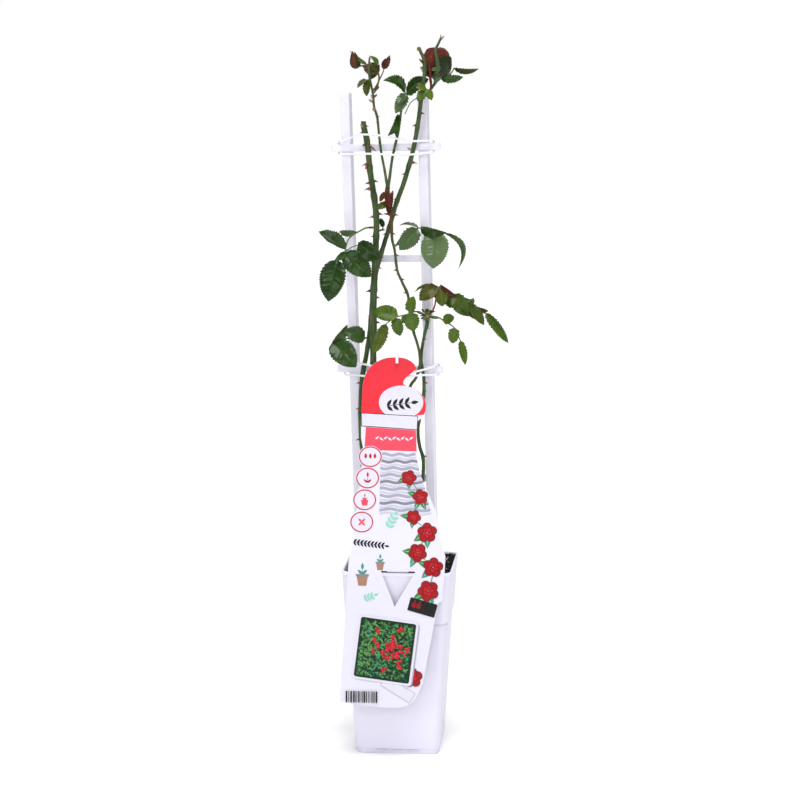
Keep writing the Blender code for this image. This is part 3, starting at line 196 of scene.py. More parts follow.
# Canes: (x, y, z, radius) from the top down
CANES = {
    "cane_thick": [
        (-41, 10, 683, 2.6), (-41, 10, 677, 3.1), (-38, 11, 665, 3.2), (-36, 11, 649, 3.2),
        (-34, 10, 629, 3.2), (-31, 8, 611, 3.2), (-29, 7, 598, 3.3), (-27, 6, 581, 3.3),
        (-27, 6, 566, 3.3), (-28, 5, 539, 3.4), (-29, 4, 516, 3.6), (-30, 3, 493, 3.8),
        (-30, 2, 470, 3.8), (-30, 1, 447, 3.6), (-30, 1, 425, 3.5), (-28, 1, 383, 3.6),
        (-23, 0, 328, 3.8), (-16, -1, 272, 4.0), (-10, 0, 222, 4.3), (-9, 0, 203, 4.5), (-9, 0, 183, 4.5),
    ],
    "cane_bloom": [
        (20, -8, 761, 1.5), (22, -8, 756, 1.8), (25, -7.5, 750, 2.0), (26, -7, 739, 2.1),
        (25, -6, 727, 2.1), (22, -4, 707, 2.2), (19, -1, 685, 2.3), (13.5, 2, 655, 2.5),
        (4, 4, 621, 2.5), (-6, 7, 594, 2.5), (-12, 10, 574, 2.5), (-18, 13, 555, 2.5),
        (-24, 15, 536, 2.5), (-31, 15, 506, 2.5), (-34, 13.5, 468, 2.5), (-36, 12, 447, 2.5),
        (-39, 10, 428, 2.6), (-42, 9, 412, 2.7), (-44, 7, 386, 2.8), (-44, 5, 349, 2.9),
        (-40, 5, 312, 3.0), (-33, 7, 272, 3.1), (-25, 12, 226, 3.2), (-23, 13, 203, 3.3), (-23, 13, 183, 3.3),
    ],
    "cane_fork": [
        (-14, -0.5, 616, 1.7), (-13, 0, 603, 1.7), (-12, 0, 590, 1.7), (-10, 0, 578, 1.6),
        (-10, 1, 566, 1.6), (-9.5, 2, 556, 1.5), (-7, 2, 546, 1.4), (-5, 1, 530, 1.4),
        (-3, 0, 521, 1.4), (2, -1, 510, 1.5), (8, -3, 497, 1.5), (10, -4, 479, 1.5),
        (14, -5, 459, 1.5), (18, -5, 446, 1.5), (21, -5, 433, 1.6), (21, -5, 421, 1.6),
        (17, -5, 408, 1.6), (10, -5, 397, 1.7), (2, -5, 368, 1.8), (-3, -6, 320, 2.0),
        (-1, -8, 262, 2.1), (2, -10, 222, 2.3), (3, -10, 203, 2.3), (3, -10, 183, 2.3),
    ],
    "cane_side": [
        (29, -6, 483, 1.7), (29, -6, 478, 2.9), (29, -6, 473, 2.9), (29, -5.5, 467, 1.9),
        (26, -4, 455, 1.7), (23.5, -1, 442, 1.7), (22, 0.5, 430, 1.7), (23, 0.5, 420, 1.7),
        (25, -1.5, 408, 1.8), (25, -3, 388, 1.8), (21, -4, 364, 1.8), (19, -5, 350, 1.8),
        (21, -5, 333, 1.9), (25, -5, 318, 1.9), (24, -4, 292, 2.0), (19, -2, 255, 2.1),
        (15, 1, 222, 2.3), (14, 2, 203, 2.3), (14, 2, 183, 2.3),
    ],
    "fork_left": [
        (-33, -3, 751, 0.9), (-34, -2, 742, 1.1), (-34, 0, 733, 1.2), (-32, 2, 722, 1.2),
        (-30, 3, 710, 1.3), (-29, 4, 698, 1.3), (-26, 7, 687, 1.3), (-24, 8, 667, 1.3),
        (-21.5, 8, 648, 1.3), (-18, 4, 632, 1.4), (-14.5, 0, 614, 1.5),
    ],
    "fork_right": [
        (7, 1, 706, 1.1), (1, 3, 697, 1.2), (-1, 4, 686, 1.2), (-3, 5, 672, 1.3), (-6, 6, 660, 1.3),
        (-9.5, 6, 645, 1.4), (-12, 2, 625, 1.5), (-13.5, -0.5, 612, 1.5),
    ],
}
# Prickles: (height, angle round the cane, length); so many small ones at random on a cane and on a branch
PRICKLES = {
    "cane_thick": [
        (678, -10, 4), (671, 200, 4), (637, -150, 7), (619, 5, 6), (617, 188, 6), (611, 200, 8),
        (584, 0, 6), (581, 190, 6), (560, 200, 4), (538, 190, 5), (526, 0, 6), (501, 190, 7),
        (494, 0, 5), (474, 200, 4), (467, 5, 6), (436, -80, 5), (395, -60, 5), (360, 170, 5),
        (315, 20, 5), (262, 190, 6),
    ],
    "cane_bloom": [
        (692, 5, 5), (679, 180, 5), (639.5, -5, 7), (627, 190, 4), (600, 150, 4), (583, 20, 5),
        (562, 200, 4), (520, 120, 4), (486, 100, 5), (400, 180, 5), (372, 200, 4), (338, 185, 5),
        (296, 160, 5), (246, 200, 6),
    ],
    "cane_fork": [
        (584, 10, 4), (574, 190, 4), (563, 0, 4), (540, 0, 4), (524, 190, 4), (514, 0, 4),
        (500, 185, 4), (488, 10, 3), (462, -160, 3), (382, 30, 4), (340, 200, 4), (285, 15, 4),
    ],
    "cane_side": [
        (462, 10, 3), (450, -20, 3), (402, 20, 4), (372, 10, 4), (344, 170, 4), (322, 10, 4),
        (280, 200, 4),
    ],
}
PRICKLE_SIZE = 0.86
PRICKLE_RINGS = 6
SMALL_PRICKLES = (9, 5)
SCARS_END = 205
# Stubs and scales on the canes: base, tip, radius, material slot, redness
STUBS = {"cane_side": [
    ((30, -8, 476), (34.4, -11, 477.4), 1.5, 3, 0.1), ((29.6, -8, 477), (31.6, -11.5, 481.4), 1.4, 3, 0),
    ((28.6, -8, 477), (26.4, -11.5, 481), 1.5, 3, 0), ((28, -8, 476), (23.4, -11, 477), 1.4, 3, 0.3),
    ((28.4, -8, 475), (25.4, -11, 471), 1.5, 3, 0), ((29.6, -8, 474.6), (31.4, -11, 470.6), 1.5, 3, 0.1),
    ((29.2, -8, 476), (29.2, -12, 475.4), 2.0, 2, 0), ((24, -8.5, 477.4), (18, -9.4, 480), 1.1, 1, 0),
    ((26, -8, 479), (23.4, -8.8, 483.4), 1.2, 1, 0), ((31, -8.4, 479), (33.6, -9.4, 482.2), 0.9, 1, 0),
    ((25.6, -9, 474.4), (22.4, -10.4, 472.6), 1, 1, 0), ((33, -8, 474.4), (42.6, -9.6, 473.6), 1.7, 3, 0),
], "cane_fork": [
    ((-29.5, 4, 702.4), (-34.8, 3, 706.6), 1.2, 2, 0), ((-30, 3.5, 708), (-25.6, 2.4, 711.8), 1.2, 1, 0),
    ((-29.8, 3, 698), (-28.6, 2, 693.6), 1.6, 2, 0), ((-30.6, 2.6, 706.6), (-32.2, 1.5, 711.4), 0.9, 2, 0),
    ((-27.6, 3, 716), (-23.4, 2.4, 719.4), 1.0, 1, 0),
], "cane_thick": [
    ((-39.4, 9, 675.4), (-44.4, 7.6, 679.6), 1.4, 2, 0), ((-37, 7.6, 637), (-38.6, 6.8, 631.6), 1.2, 1, 0),
    ((-35, 8, 658), (-27, 6.4, 650.8), 0.9, 1, 0), ((-38.6, 8, 660), (-41.8, 7, 656.4), 1.1, 1, 0),
], "cane_bloom": [
    ((11.6, -0.6, 652), (7.2, -3, 655.6), 1.1, 2, 0), ((24, -8, 736), (21.6, -9, 741), 0.9, 2, 0),
]}
# Redness of the bark along each cane: (height, share)
BARK_FLUSH = {
    "cane_thick": [(683, 0.05), (663, 0.1), (659, 0.7), (654, 0.05), (641, 0.1), (636, 0.9), (631, 0.05),
                   (612, 0.1), (604, 0.95), (596, 0.03), (528, 0.03), (519, 0.9), (508, 0.03), (180, 0.0)],
    "cane_bloom": [(761, 0.45), (745, 0.1), (700, 0.0), (600, 0.12), (520, 0.05), (180, 0.0)],
    "cane_fork": [(616, 0.5), (600, 0.9), (566, 0.9), (554, 0.15), (180, 0.0)],
    "cane_side": [(483, 0.6), (470, 0.3), (456, 0.02), (180, 0.0)],
    "fork_left": [(751, 0.0), (722, 0.05), (705, 0.25), (690, 0.02), (614, 0.0)],
    "fork_right": [(706, 0.05), (660, 0.1), (612, 0.05)],
}

# Leaflets: base, tip, width, fold and roll in degrees, then what differs from the usual: arch and sweep as
# shares of the length, redness, paleness, size of teeth and waves, bluntness (low full) and material slot
LEAFLET_DEFAULTS = dict(arch=0.08, sweep=0.0, flush=0.0, pale=0.0, teeth=1.0, wave=1.0, full=0.72, slot=0)
BLADE_FACE = Vector((0.0, -1.0, 0.25))
BLADE_COLUMNS = 6
BLADE_PEAK = 0.43
BLADE_THICK = 0.5
TOOTH_PITCH = 2.9
TOOTH_STOPS = (0.45, 0.82, 1)
TOOTH_REACH = (0.1, 0.85, -0.7)
LIGHT = 2
VEIN_SLANT = 0.25
VEINS = 7
PALE_LEAF = (0.105, 0.163, 0.069)


def leaflet(base, tip, width, fold=14, roll=0, **changes):
    """One leaflet as a row of the leaf tables."""
    return dict(LEAFLET_DEFAULTS, base=base, tip=tip, width=width, fold=fold, roll=roll, **changes)


LEAVES = {
    "leaf_left_upper": dict(
        cane="cane_thick", slot="leaf_dark", look="dark",
        stalk=[(-33, 4, 569), (-38, 1, 569), (-44, -1, 566), (-51, -4, 562), (-56, -7, 557),
               (-58, -9, 551), (-60, -10, 543), (-64, -12, 537), (-67, -13, 534)],
        twigs=[[(-59, -10, 544), (-52, -9.5, 549), (-44, -9, 552)]],
        leaflets=[
            leaflet((-47, -3, 565), (-67.4, 6, 564.5), 10, 40, -35, pale=0.9),
            leaflet((-58, -9, 546.5), (-88.5, -3, 566), 24, 46, 30, sweep=0.09, pale=0.2, full=1.0),
            leaflet((-59, -10, 543), (-69, -20, 536), 9, 30, -30, pale=0.35),
            leaflet((-67.4, -13, 535.5), (-76, -24, 492), 28.5, 14, arch=0.10),
            leaflet((-60, -10, 542.5), (-31, -14, 518), 25.5, 16, arch=0.10),
            leaflet((-45, -9, 554), (-20, -8, 538), 24, 32, 20, arch=0.18),
        ],
    ),
    "leaf_left_lower": dict(
        cane="cane_thick", slot="leaf_dark", look="dark",
        stalk=[(-34, -2, 450), (-42, -6, 451), (-52, -10, 451), (-65, -12, 449), (-73, -13, 446)],
        leaflets=[
            leaflet((-38.5, -6, 450), (-61, -14, 458), 20, 24, 12, arch=0.14, pale=0.15),
            leaflet((-73, -13, 445), (-57, -9, 465), 14, 44, 36, pale=0.6, flush=0.1),
            leaflet((-73, -13, 446.5), (-46.5, -21, 421), 27, 12, -8, arch=0.12, pale=0.1),
        ],
    ),
    "leaf_centre": dict(
        cane="cane_side", slot="leaf_light", look="light",
        stalk=[(27, -8, 477), (21, -9.5, 480), (15, -10.5, 480), (7, -11, 477), (-2, -11.5, 475),
               (-8, -11.5, 472), (-16, -11.5, 466)],
        leaflets=[
            leaflet((11, -10.5, 479.5), (15, -14, 497), 13, 24, -12, full=0.5, wave=1.6),
            leaflet((12, -10.5, 479), (14.6, -15, 460), 17, 12, 4, pale=0.2, full=0.55),
            leaflet((6, -11, 477), (3, -13, 468), 6),
            leaflet((-5, -11.5, 473.5), (0.5, -14, 454.5), 13, 16, pale=0.1, full=0.6),
            leaflet((-2, -11.5, 475.5), (-28.5, -8, 479.5), 18.5, 14, 10, full=0.6, teeth=0.5),
            leaflet((-15, -11.5, 467), (-29, -10.5, 434.5), 15, 28, -14, arch=0.06, flush=0.18),
        ],
    ),
    "leaf_right_small": dict(
        cane="cane_side", slot="leaf_light", look="light",
        stalk=[(33, -7.5, 474.4), (36, -8, 474.2), (41, -9, 474), (46.4, -10, 471.5), (53, -11.5, 467.4),
               (58, -12.4, 464.2), (62.2, -13.2, 457), (65.6, -13.8, 449.4)],
        leaflets=[
            leaflet((46.6, -10.4, 470.4), (58.6, -13.6, 475), 11.5, 10, -10, full=0.5),
            leaflet((58.8, -12.6, 463.6), (57, -15.6, 447), 12.5, 14, -10, pale=0.15, full=0.55),
            leaflet((65.3, -13.8, 450), (71, -16, 424), 9.5, 24, -10),
        ],
    ),
    "shoot_right": dict(
        cane="cane_side", slot="leaf_young", look="young", flush=0.8, twig="twig_red",
        stalk=[(33, -8, 479), (35.5, -9, 482), (37.7, -10, 488), (39, -11, 496), (40.4, -12, 505),
               (45, -12.5, 508), (54, -13, 503), (61, -13.5, 497.5), (75, -14, 489.4), (84, -14.5, 483),
               (92, -15, 479.6)],
        leaflets=[
            leaflet((40.4, -12, 508), (21.8, -20, 493.6), 17.5, 12, 12, flush=0.46, slot=LIGHT),
            leaflet((44, -12.5, 508.4), (46, -19, 487.2), 15.5, 12, -5, flush=0.3, slot=LIGHT,
                    full=0.6, teeth=0.2),
            leaflet((35, -11, 508.4), (16, -10, 502), 7, 44, 50, flush=0.1, slot=LIGHT),
            leaflet((44, -13, 509.6), (61.5, -16, 496.8), 8, 46, 34, flush=1.0, teeth=0.3),
            leaflet((50.5, -12.4, 501), (54.8, -16, 485), 13, 20, -16, flush=0.05),
            leaflet((57.5, -13.5, 499.5), (74.5, -19, 476.8), 19, 22, 4, wave=2.0),
            leaflet((59, -13.6, 500), (77, -11, 493.5), 8, 30, 60, pale=0.15),
            leaflet((66, -14, 494), (80.5, -18, 474), 12, 24, -14, wave=1.6, pale=0.1),
            leaflet((74, -14, 487), (79.5, -11.5, 495.5), 7, 30, 20, pale=0.35),
            leaflet((75.4, -14, 489), (91, -19, 467.6), 13, 30, -6, wave=1.4, flush=0.08),
            leaflet((81.5, -14.4, 485.4), (95, -11, 481.6), 8, 30, 40, pale=0.2, flush=0.1),
            leaflet((92.4, -15, 480), (117, -17, 448), 12.5, 36, 10, sweep=0.03, slot=LIGHT),
        ],
    ),
    "leaf_right_upper": dict(
        cane="cane_fork", slot="leaf_dark", look="dark",
        stalk=[(-4, 1, 551), (-1, -1, 557), (4, -4, 562), (13, -7, 567), (20, -9, 570),
               (30, -12, 568.5), (40, -13.5, 565), (50, -13.5, 565)],
        leaflets=[
            leaflet((19, -9, 569.5), (0, -16, 547), 20, 18, -10, pale=0.55),
            leaflet((40, -13.4, 566), (36.5, -23, 528), 30, 8, 4, arch=0.1, pale=1.0),
            leaflet((20, -9, 570), (-1, -3, 573), 8, 40, 60, pale=0.2),
            leaflet((22, -9.5, 570), (50, -22, 566), 14, 30, 38, arch=0.12),
            leaflet((47, -13.5, 565.5), (63.5, -14, 527.5), 9, 42, -20, sweep=0.28, pale=0.4),
        ],
    ),
    "leaf_top_centre": dict(
        cane=None, slot="leaf_dark", look="dark",
        stalk=[(7.1, 0.9, 706.5), (6.4, 0.6, 710), (5, 0.2, 713), (4, 0, 715)],
        leaflets=[
            leaflet((4.6, 0.2, 713.6), (-18, -5, 727), 15, 30, 26, sweep=-0.2),
            leaflet((4.8, 0, 713), (-5, -8, 692), 13.5, 20, -16, pale=0.9),
            leaflet((6, 0.4, 711), (-3, -13, 700), 10, 22, 20, pale=0.5),
            leaflet((6.2, 0.6, 711), (29, 10, 728), 16, 28, 16, sweep=0.14),
        ],
    ),
    "leaf_fork": dict(
        cane="fork_right", slot="leaf_dark", look="dark",
        stalk=[(-1.5, 1, 688), (-2.6, -1, 690), (-4, -2.2, 690)],
        leaflets=[
            leaflet((-3.2, -1.7, 690), (-13, -8, 668), 9.5, 34, -25, sweep=0.1),
            leaflet((-3.0, -1.5, 689.5), (-5, -4.5, 667), 6, 30, 10),
        ],
    ),
    "shoot_red": dict(
        cane="cane_fork", slot="leaf_red", look="young", flush=1.0, twig="twig_red",
        stalk=[(-12.5, -2, 584), (-13.6, -4, 586.5), (-14.2, -4.8, 592), (-14.6, -5, 599),
               (-15.4, -5.2, 605)],
        leaflets=[
            leaflet((-12.6, -3.6, 585), (-15.6, -7, 613.5), 9.5, 40, 16, flush=1.0, wave=1.6),
            leaflet((-11.8, -3.6, 585), (-8, -6.4, 610), 8.5, 36, -14, flush=1.0, wave=1.6),
            leaflet((-14.6, -4, 610), (-12, -5, 617.5), 4, 24, flush=0.15),
            leaflet((-14.4, -5, 596), (-26, -10, 591), 8, 24, -10, flush=0.1),
            leaflet((-15.2, -5.2, 608), (-22, -7, 598), 7, 30, 10, flush=0.9),
        ],
    ),
    "leaf_behind": dict(
        cane="cane_thick", slot="leaf_dark", look="dark",
        stalk=[(-23, 8, 566), (-20.5, 9, 567.5), (-20, 10, 570)],
        leaflets=[leaflet((-20.2, 9.7, 569), (-23.5, 12, 579), 6.5, 30, 20)],
    ),
    "leaf_light_trio": dict(
        cane="cane_bloom", slot="leaf_light", look="light",
        stalk=[(23, -6.5, 709), (24.5, -9, 712), (27, -10, 716), (28.6, -10.4, 718)],
        twigs=[[(23.9, -8.4, 711), (18, -8, 708), (11, -8, 703), (5, -9, 691)]],
        leaflets=[
            leaflet((28, -10.2, 717.4), (17, -14, 720), 8, 16, 20, flush=0.15),
            leaflet((27.6, -10.1, 717), (19, -15, 705), 10, 12),
            leaflet((28.2, -10.3, 717.4), (34, -13, 706), 9, 14, -12),
        ],
    ),
    "leaf_below_buds": dict(
        cane="fork_left", slot="leaf_olive", look="young", flush=0.2,
        stalk=[(-34, 0, 726), (-35, -2.4, 727.4), (-36, -3.4, 726)],
        leaflets=[
            leaflet((-35.2, -2.8, 726.8), (-36, -7, 710), 9, 22, 10, flush=0.15),
            leaflet((-35.4, -3.0, 727), (-46, -6, 719), 8, 34, 30, pale=0.6, flush=0.35),
        ],
    ),
    "shoot_top_red": dict(
        cane="fork_left", slot="leaf_red", look="young", flush=0.9,
        stalk=[(-29, 4, 717), (-26, 4.6, 722), (-23, 4.8, 728), (-20, 4.8, 734), (-18, 4.6, 740)],
        leaflets=[
            leaflet((-18.6, 4.7, 738.4), (-12, 2, 753), 8, 40, 20, flush=1.0),
            leaflet((-18.8, 4.7, 738), (-17, 8, 750), 6, 36, -40, flush=1.0),
        ],
    ),
}

# Bloom: layers of petals as (radius, height, petals, turn, closing angle), sepals as (angle, closing, span)
BLOOM_CENTRE = (38, 9, 732.6)
BLOOM_LAYERS = [
    (4.5, 25.5, 3, 0, 50), (7.5, 27, 4, 40, 62), (10.5, 28, 5, 75, 70), (13.2, 28.6, 5, 10, 76),
    (15.0, 29, 5, 44, 80),
]
PETAL_FOOT = -74.0
PETAL_THICK = 0.45
PETAL_GRID = 18
PETAL_LEAN = Vector((-1.3, -0.4, 0.0))
BLOOM_SEAT = 729.6
RECEPTACLE = [(38, 9, 724.8, 1.2), (38, 9, 727.6, 4.2), (38, 9, 729.6, 6.8), (38, 9, 730.3, 6.4)]
SEPAL_RADIUS = 16.6
SEPALS = [(-40, 30, 92), (62, 2, 60), (150, -14, 60), (235, -30, 50)]
BLOOM_STALK = [(29, -4.6, 712), (31, -1, 716), (34, 3, 720.5), (37, 7, 725), (38, 9, 728.6)]
BLOOM_STEM = [
    (36, 4, 724, 1.4), (37, -4, 727.5, 1.6), (38.6, -8.6, 733, 2.0), (40.4, -11.2, 741, 2.4),
    (39.4, -11.8, 750, 1.9), (37.8, -11.6, 758, 1.5), (41.6, -10.2, 767, 1.3), (43.4, -9.4, 771, 1.4),
]
STEM_PRONGS = [
    [(43.0, -9.6, 770.4, 1.2), (43.2, -9.4, 772.6, 0.8), (43.0, -9.2, 774.6, 0.4)],
    [(43.8, -9.4, 770.2, 1.2), (45.4, -9.0, 772.0, 0.9), (46.6, -8.8, 773.2, 0.5)],
]
DRY_STRIP = [
    (31.4, -1.2, 716.6, 0.9), (32.6, -3.8, 722, 1.2), (32.2, -5.9, 729, 1.5), (31.6, -6.6, 738, 1.3),
    (29.8, -5.6, 747, 0.5),
]
CANE_KNOB = ((20.6, -8, 757.4), (19.4, -8.2, 762), 2.3)
BLOOM_TWIG = [(40, 10.5, 728), (48, 16, 730.5), (53, 19, 735), (55.5, 18.5, 739.6)]
BLOOM_GREENS = [
    leaflet((42, 8, 728.6), (66, 7, 730), 10, 24, 30, arch=0.12, pale=0.1),
    leaflet((55.2, 18.4, 739.4), (82, 14, 738.5), 8, 34, 40, sweep=-0.06, flush=0.25),
    leaflet((33.5, -8.6, 737.6), (43.4, -11.6, 739.4), 4.8, 30, pale=0.95, teeth=0.0),
    leaflet((42.4, -9.0, 735.6), (35.6, -10.4, 731.4), 6.0, 24, flush=0.3, teeth=0.2),
    leaflet((25.8, -8.8, 743.4), (20.1, -11, 749.7), 2.6, 30, flush=0.9, teeth=0.0),
]

# Buds: base, tip, radius
BUD_PEAK = 0.72
BUD_RINGS = 26
CALYX_STEPS = 22
BUD_OLIVE = ((-24, 10, 736), (-42.5, 8, 742), 6.9)
BUD_RED = ((-48.2, 7.0, 739.0), (-52.0, 5.8, 756.5), 5.4)
BUD_RED_NECK = [(-40.6, 8.0, 742.2), (-44.0, 7.6, 741.8), (-47, 7.2, 741)]
BUD_STALK = [(-28.6, 5.2, 714), (-26.2, 7.4, 719), (-24.4, 9.4, 727), (-24.6, 10, 732), (-26, 10, 736)]
BUD_GREENS = [
    leaflet((-27.6, 5.6, 738.5), (-34.5, 3.6, 752.5), 6.0, 24, 10, sweep=-0.26, pale=0.2, teeth=0.1,
            slot=LIGHT),
    leaflet((-26, 10, 735), (-34, 6, 727.5), 6.5, 20, 10, flush=0.6, teeth=0.4),
    leaflet((-26.5, 11, 736), (-38, 18, 741), 6.0, 20, 40, flush=0.3, teeth=0.3),
    leaflet((-37, 3.6, 744), (-46.5, 4.6, 751.6), 4.6, 30, -10, sweep=0.1, pale=0.2, teeth=0.2,
            slot=LIGHT),
    leaflet((-25.4, 6, 738), (-23.4, 4, 743.4), 4.0, 30, flush=0.9, teeth=0.0),
]


# ---- shapes ----

def put(name, data):
    """A new object in the scene."""
    made = bpy.data.objects.new(name, data)
    bpy.context.scene.collection.objects.link(made)
    return made


def seat(piece, node=None):
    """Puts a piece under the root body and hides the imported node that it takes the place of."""
    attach(piece, "root")
    if node:
        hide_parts(node)
    return piece


def mesh_of(name, shape):
    """The bmesh as a new mesh."""
    mesh = bpy.data.meshes.new(name)
    shape.to_mesh(mesh)
    shape.free()
    return mesh


def thicken(piece, thick, under):
    """Gives a sheet its thickness, and the material that many slots further on to its back."""
    solid = piece.modifiers.new("thickness", "SOLIDIFY")
    solid.thickness = thick * MM
    solid.offset = 0.0
    solid.material_offset = under


class Shape:
    """Corners, faces, map places and tints of one piece, gathered in millimetres."""

    def __init__(self):
        self.corners, self.faces, self.places, self.tints, self.slots = [], [], [], [], []

    def add(self, corners, faces, places, tint=(0, 0, 0), slot=0):
        """Adds corners with their map places; tint is one for all, or a list with one for each."""
        start = len(self.corners)
        self.corners += corners
        self.places += places
        self.tints += tint if isinstance(tint, list) else [tint] * len(corners)
        self.faces += [tuple(start + i for i in face) for face in faces]
        self.slots += [slot] * len(faces)

    def grid(self, rows, places, **rest):
        """Adds a sheet of rows of corners."""
        across = len(rows[0])
        faces = [(k, k + 1, k + across + 1, k + across)
                 for i in range(len(rows) - 1) for k in range(i * across, (i + 1) * across - 1)]
        self.add([p for row in rows for p in row], faces, [p for row in places for p in row], **rest)

    def rings(self, rows, heights, **rest):
        """Adds rings whose last corner lies on the first, each with its height on the map."""
        sides = len(rows[0]) - 1
        self.grid(rows, [[(j / sides, height) for j in range(sides + 1)] for height in heights], **rest)

    def build(self, name, finishes, slot, node=None, smooth=True, thick=0.0, under=0):
        """Makes the piece from names of finishes, with a thickness and another one on its back if asked."""
        mesh = bpy.data.meshes.new(name)
        mesh.from_pydata([Vector(p) * MM for p in self.corners], [], self.faces)
        mesh.update()
        layer = mesh.uv_layers.new(name="UVMap")
        for loop in mesh.loops:
            layer.data[loop.index].uv = self.places[loop.vertex_index]
        tint = mesh.color_attributes.new("tint", "FLOAT_COLOR", "POINT")
        for entry, value in zip(tint.data, self.tints):
            entry.color = (*value, 1.0)
        for entry, value in zip(mesh.polygons, self.slots):
            entry.material_index = value
        for key in finishes:
            mesh.materials.append(FINISH[key])
        if smooth:
            mesh.shade_smooth()
        piece = put(name, mesh)
        if thick:
            thicken(piece, thick, under)
        return seat(piece, node)


def smooth_route(points, spacing):
    """Points about every spacing along the smooth curve through the given ones, radius included."""
    points = [Vector(p) for p in points]
    ends = [2 * points[0] - points[1], *points, 2 * points[-1] - points[-2]]
    route = []
    for a, b, c, d in zip(ends, ends[1:], ends[2:], ends[3:]):
        steps = max(1, round((c.xyz - b.xyz).length / spacing))
        for step in range(steps):
            t = step / steps
            route.append(0.5 * (2 * b + (c - a) * t + (2 * a - 5 * b + 4 * c - d) * t ** 2
                                + (3 * b - a - 3 * c + d) * t ** 3))
    return route + [points[-1]]


def smooth_flat(route, spacing):
    """The same for points with two numbers each."""
    return [(p.x, p.y) for p in smooth_route([(a, b, 0.0) for a, b in route], spacing)]


def with_radius(points, radii):
    """Route points with a radius as their fourth number, spread from the first radius to the last."""
    last = max(len(points) - 1, 1)
    return [(*p[:3], radii[0] + (radii[1] - radii[0]) * i / last) for i, p in enumerate(points)]


def turns(sides):
    """The angles round a ring, ending where they start."""
    return [2 * pi * (j % sides) / sides for j in range(sides + 1)]


def outward(normal, across, turn):
    """The direction at an angle between two directions square to each other."""
    return normal * cos(turn) + across * sin(turn)


def tube(shape, route, sides, tint=(0, 0, 0), slot=0, cap_slot=None, rough=0.0, cyclic=False):
    """Adds a round tube along (x, y, z, radius) points; rough lets its skin swell and sink a little."""
    rows, heights = [], []
    normal = None
    travelled = 0.0
    count = len(route)
    for i, point in enumerate(route):
        before = route[i - 1] if i or cyclic else point
        after = route[(i + 1) % count] if i < count - 1 or cyclic else point
        along = (after.xyz - before.xyz).normalized()
        if normal is None:
            normal = along.orthogonal().normalized()
        normal = (normal - along * normal.dot(along)).normalized()
        across = along.cross(normal)
        if i:
            travelled += (point.xyz - route[i - 1].xyz).length
        row = []
        for turn in turns(sides):
            out = outward(normal, across, turn)
            swell = 1 + rough * noise.noise((point.xyz + out * 3.0) * 0.22)
            row.append(point.xyz + out * (point.w * swell))
        rows.append(row)
        heights.append(travelled * 0.02)
    if cyclic:
        shape.rings(rows + rows[:1], heights + heights[:1], tint=tint, slot=slot)
        return
    tints = [value for value in tint for _ in range(sides + 1)] if isinstance(tint, list) else tint
    shape.rings(rows, heights, tint=tints, slot=slot)
    for row, step in ((rows[0], -1), (rows[-1], 1)):
        corners = row[:-1] + [sum(row[:-1], Vector()) / sides]
        faces = [(j, (j + 1) % sides, sides)[::step] for j in range(sides)]
        shape.add(corners, faces, [(0.5, 0.5)] * len(corners), tint[0] if isinstance(tint, list) else tint,
                  slot if cap_slot is None else cap_slot)


def stem(shape, points, radii, spacing, sides, **rest):
    """Adds a tube along a smooth route with the radius spread over it."""
    tube(shape, smooth_route(with_radius(points, radii), spacing), sides, **rest)


def axes(base, tip):
    """The base, the way from it to the tip, and two directions across that way."""
    base = Vector(base)
    axis = Vector(tip) - base
    normal = axis.orthogonal().normalized()
    return base, axis, normal, axis.normalized().cross(normal)


def egg(shape, base, tip, radius, sides=20, rings=14, ridges=0.0, **rest):
    """Adds a closed egg from base to tip, with soft ridges along it if asked."""
    base, axis, normal, across = axes(base, tip)
    rows, heights = [], []
    for i in range(rings + 1):
        polar = pi * i / rings
        reach = radius * sin(polar)
        height = (1 - cos(polar)) / 2
        rows.append([base + axis * height + outward(normal, across, turn) * reach
                     * (1 + ridges * cos(5 * turn + 3 * height)) for turn in turns(sides)])
        heights.append(height)
    shape.rings(rows, heights, **rest)


def blade_half_width(share, full):
    """Half width of a leaflet along its length, as a share of its widest; a low full makes it blunt."""
    rise = BLADE_PEAK / (1 - BLADE_PEAK) * full
    peak = BLADE_PEAK ** rise * (1 - BLADE_PEAK) ** full
    drawn_out = 1 - 0.35 * max(0.0, (share - 0.8) / 0.2) ** 2
    return max(share, 0.0) ** rise * max(1 - share, 0.0) ** full / peak * drawn_out


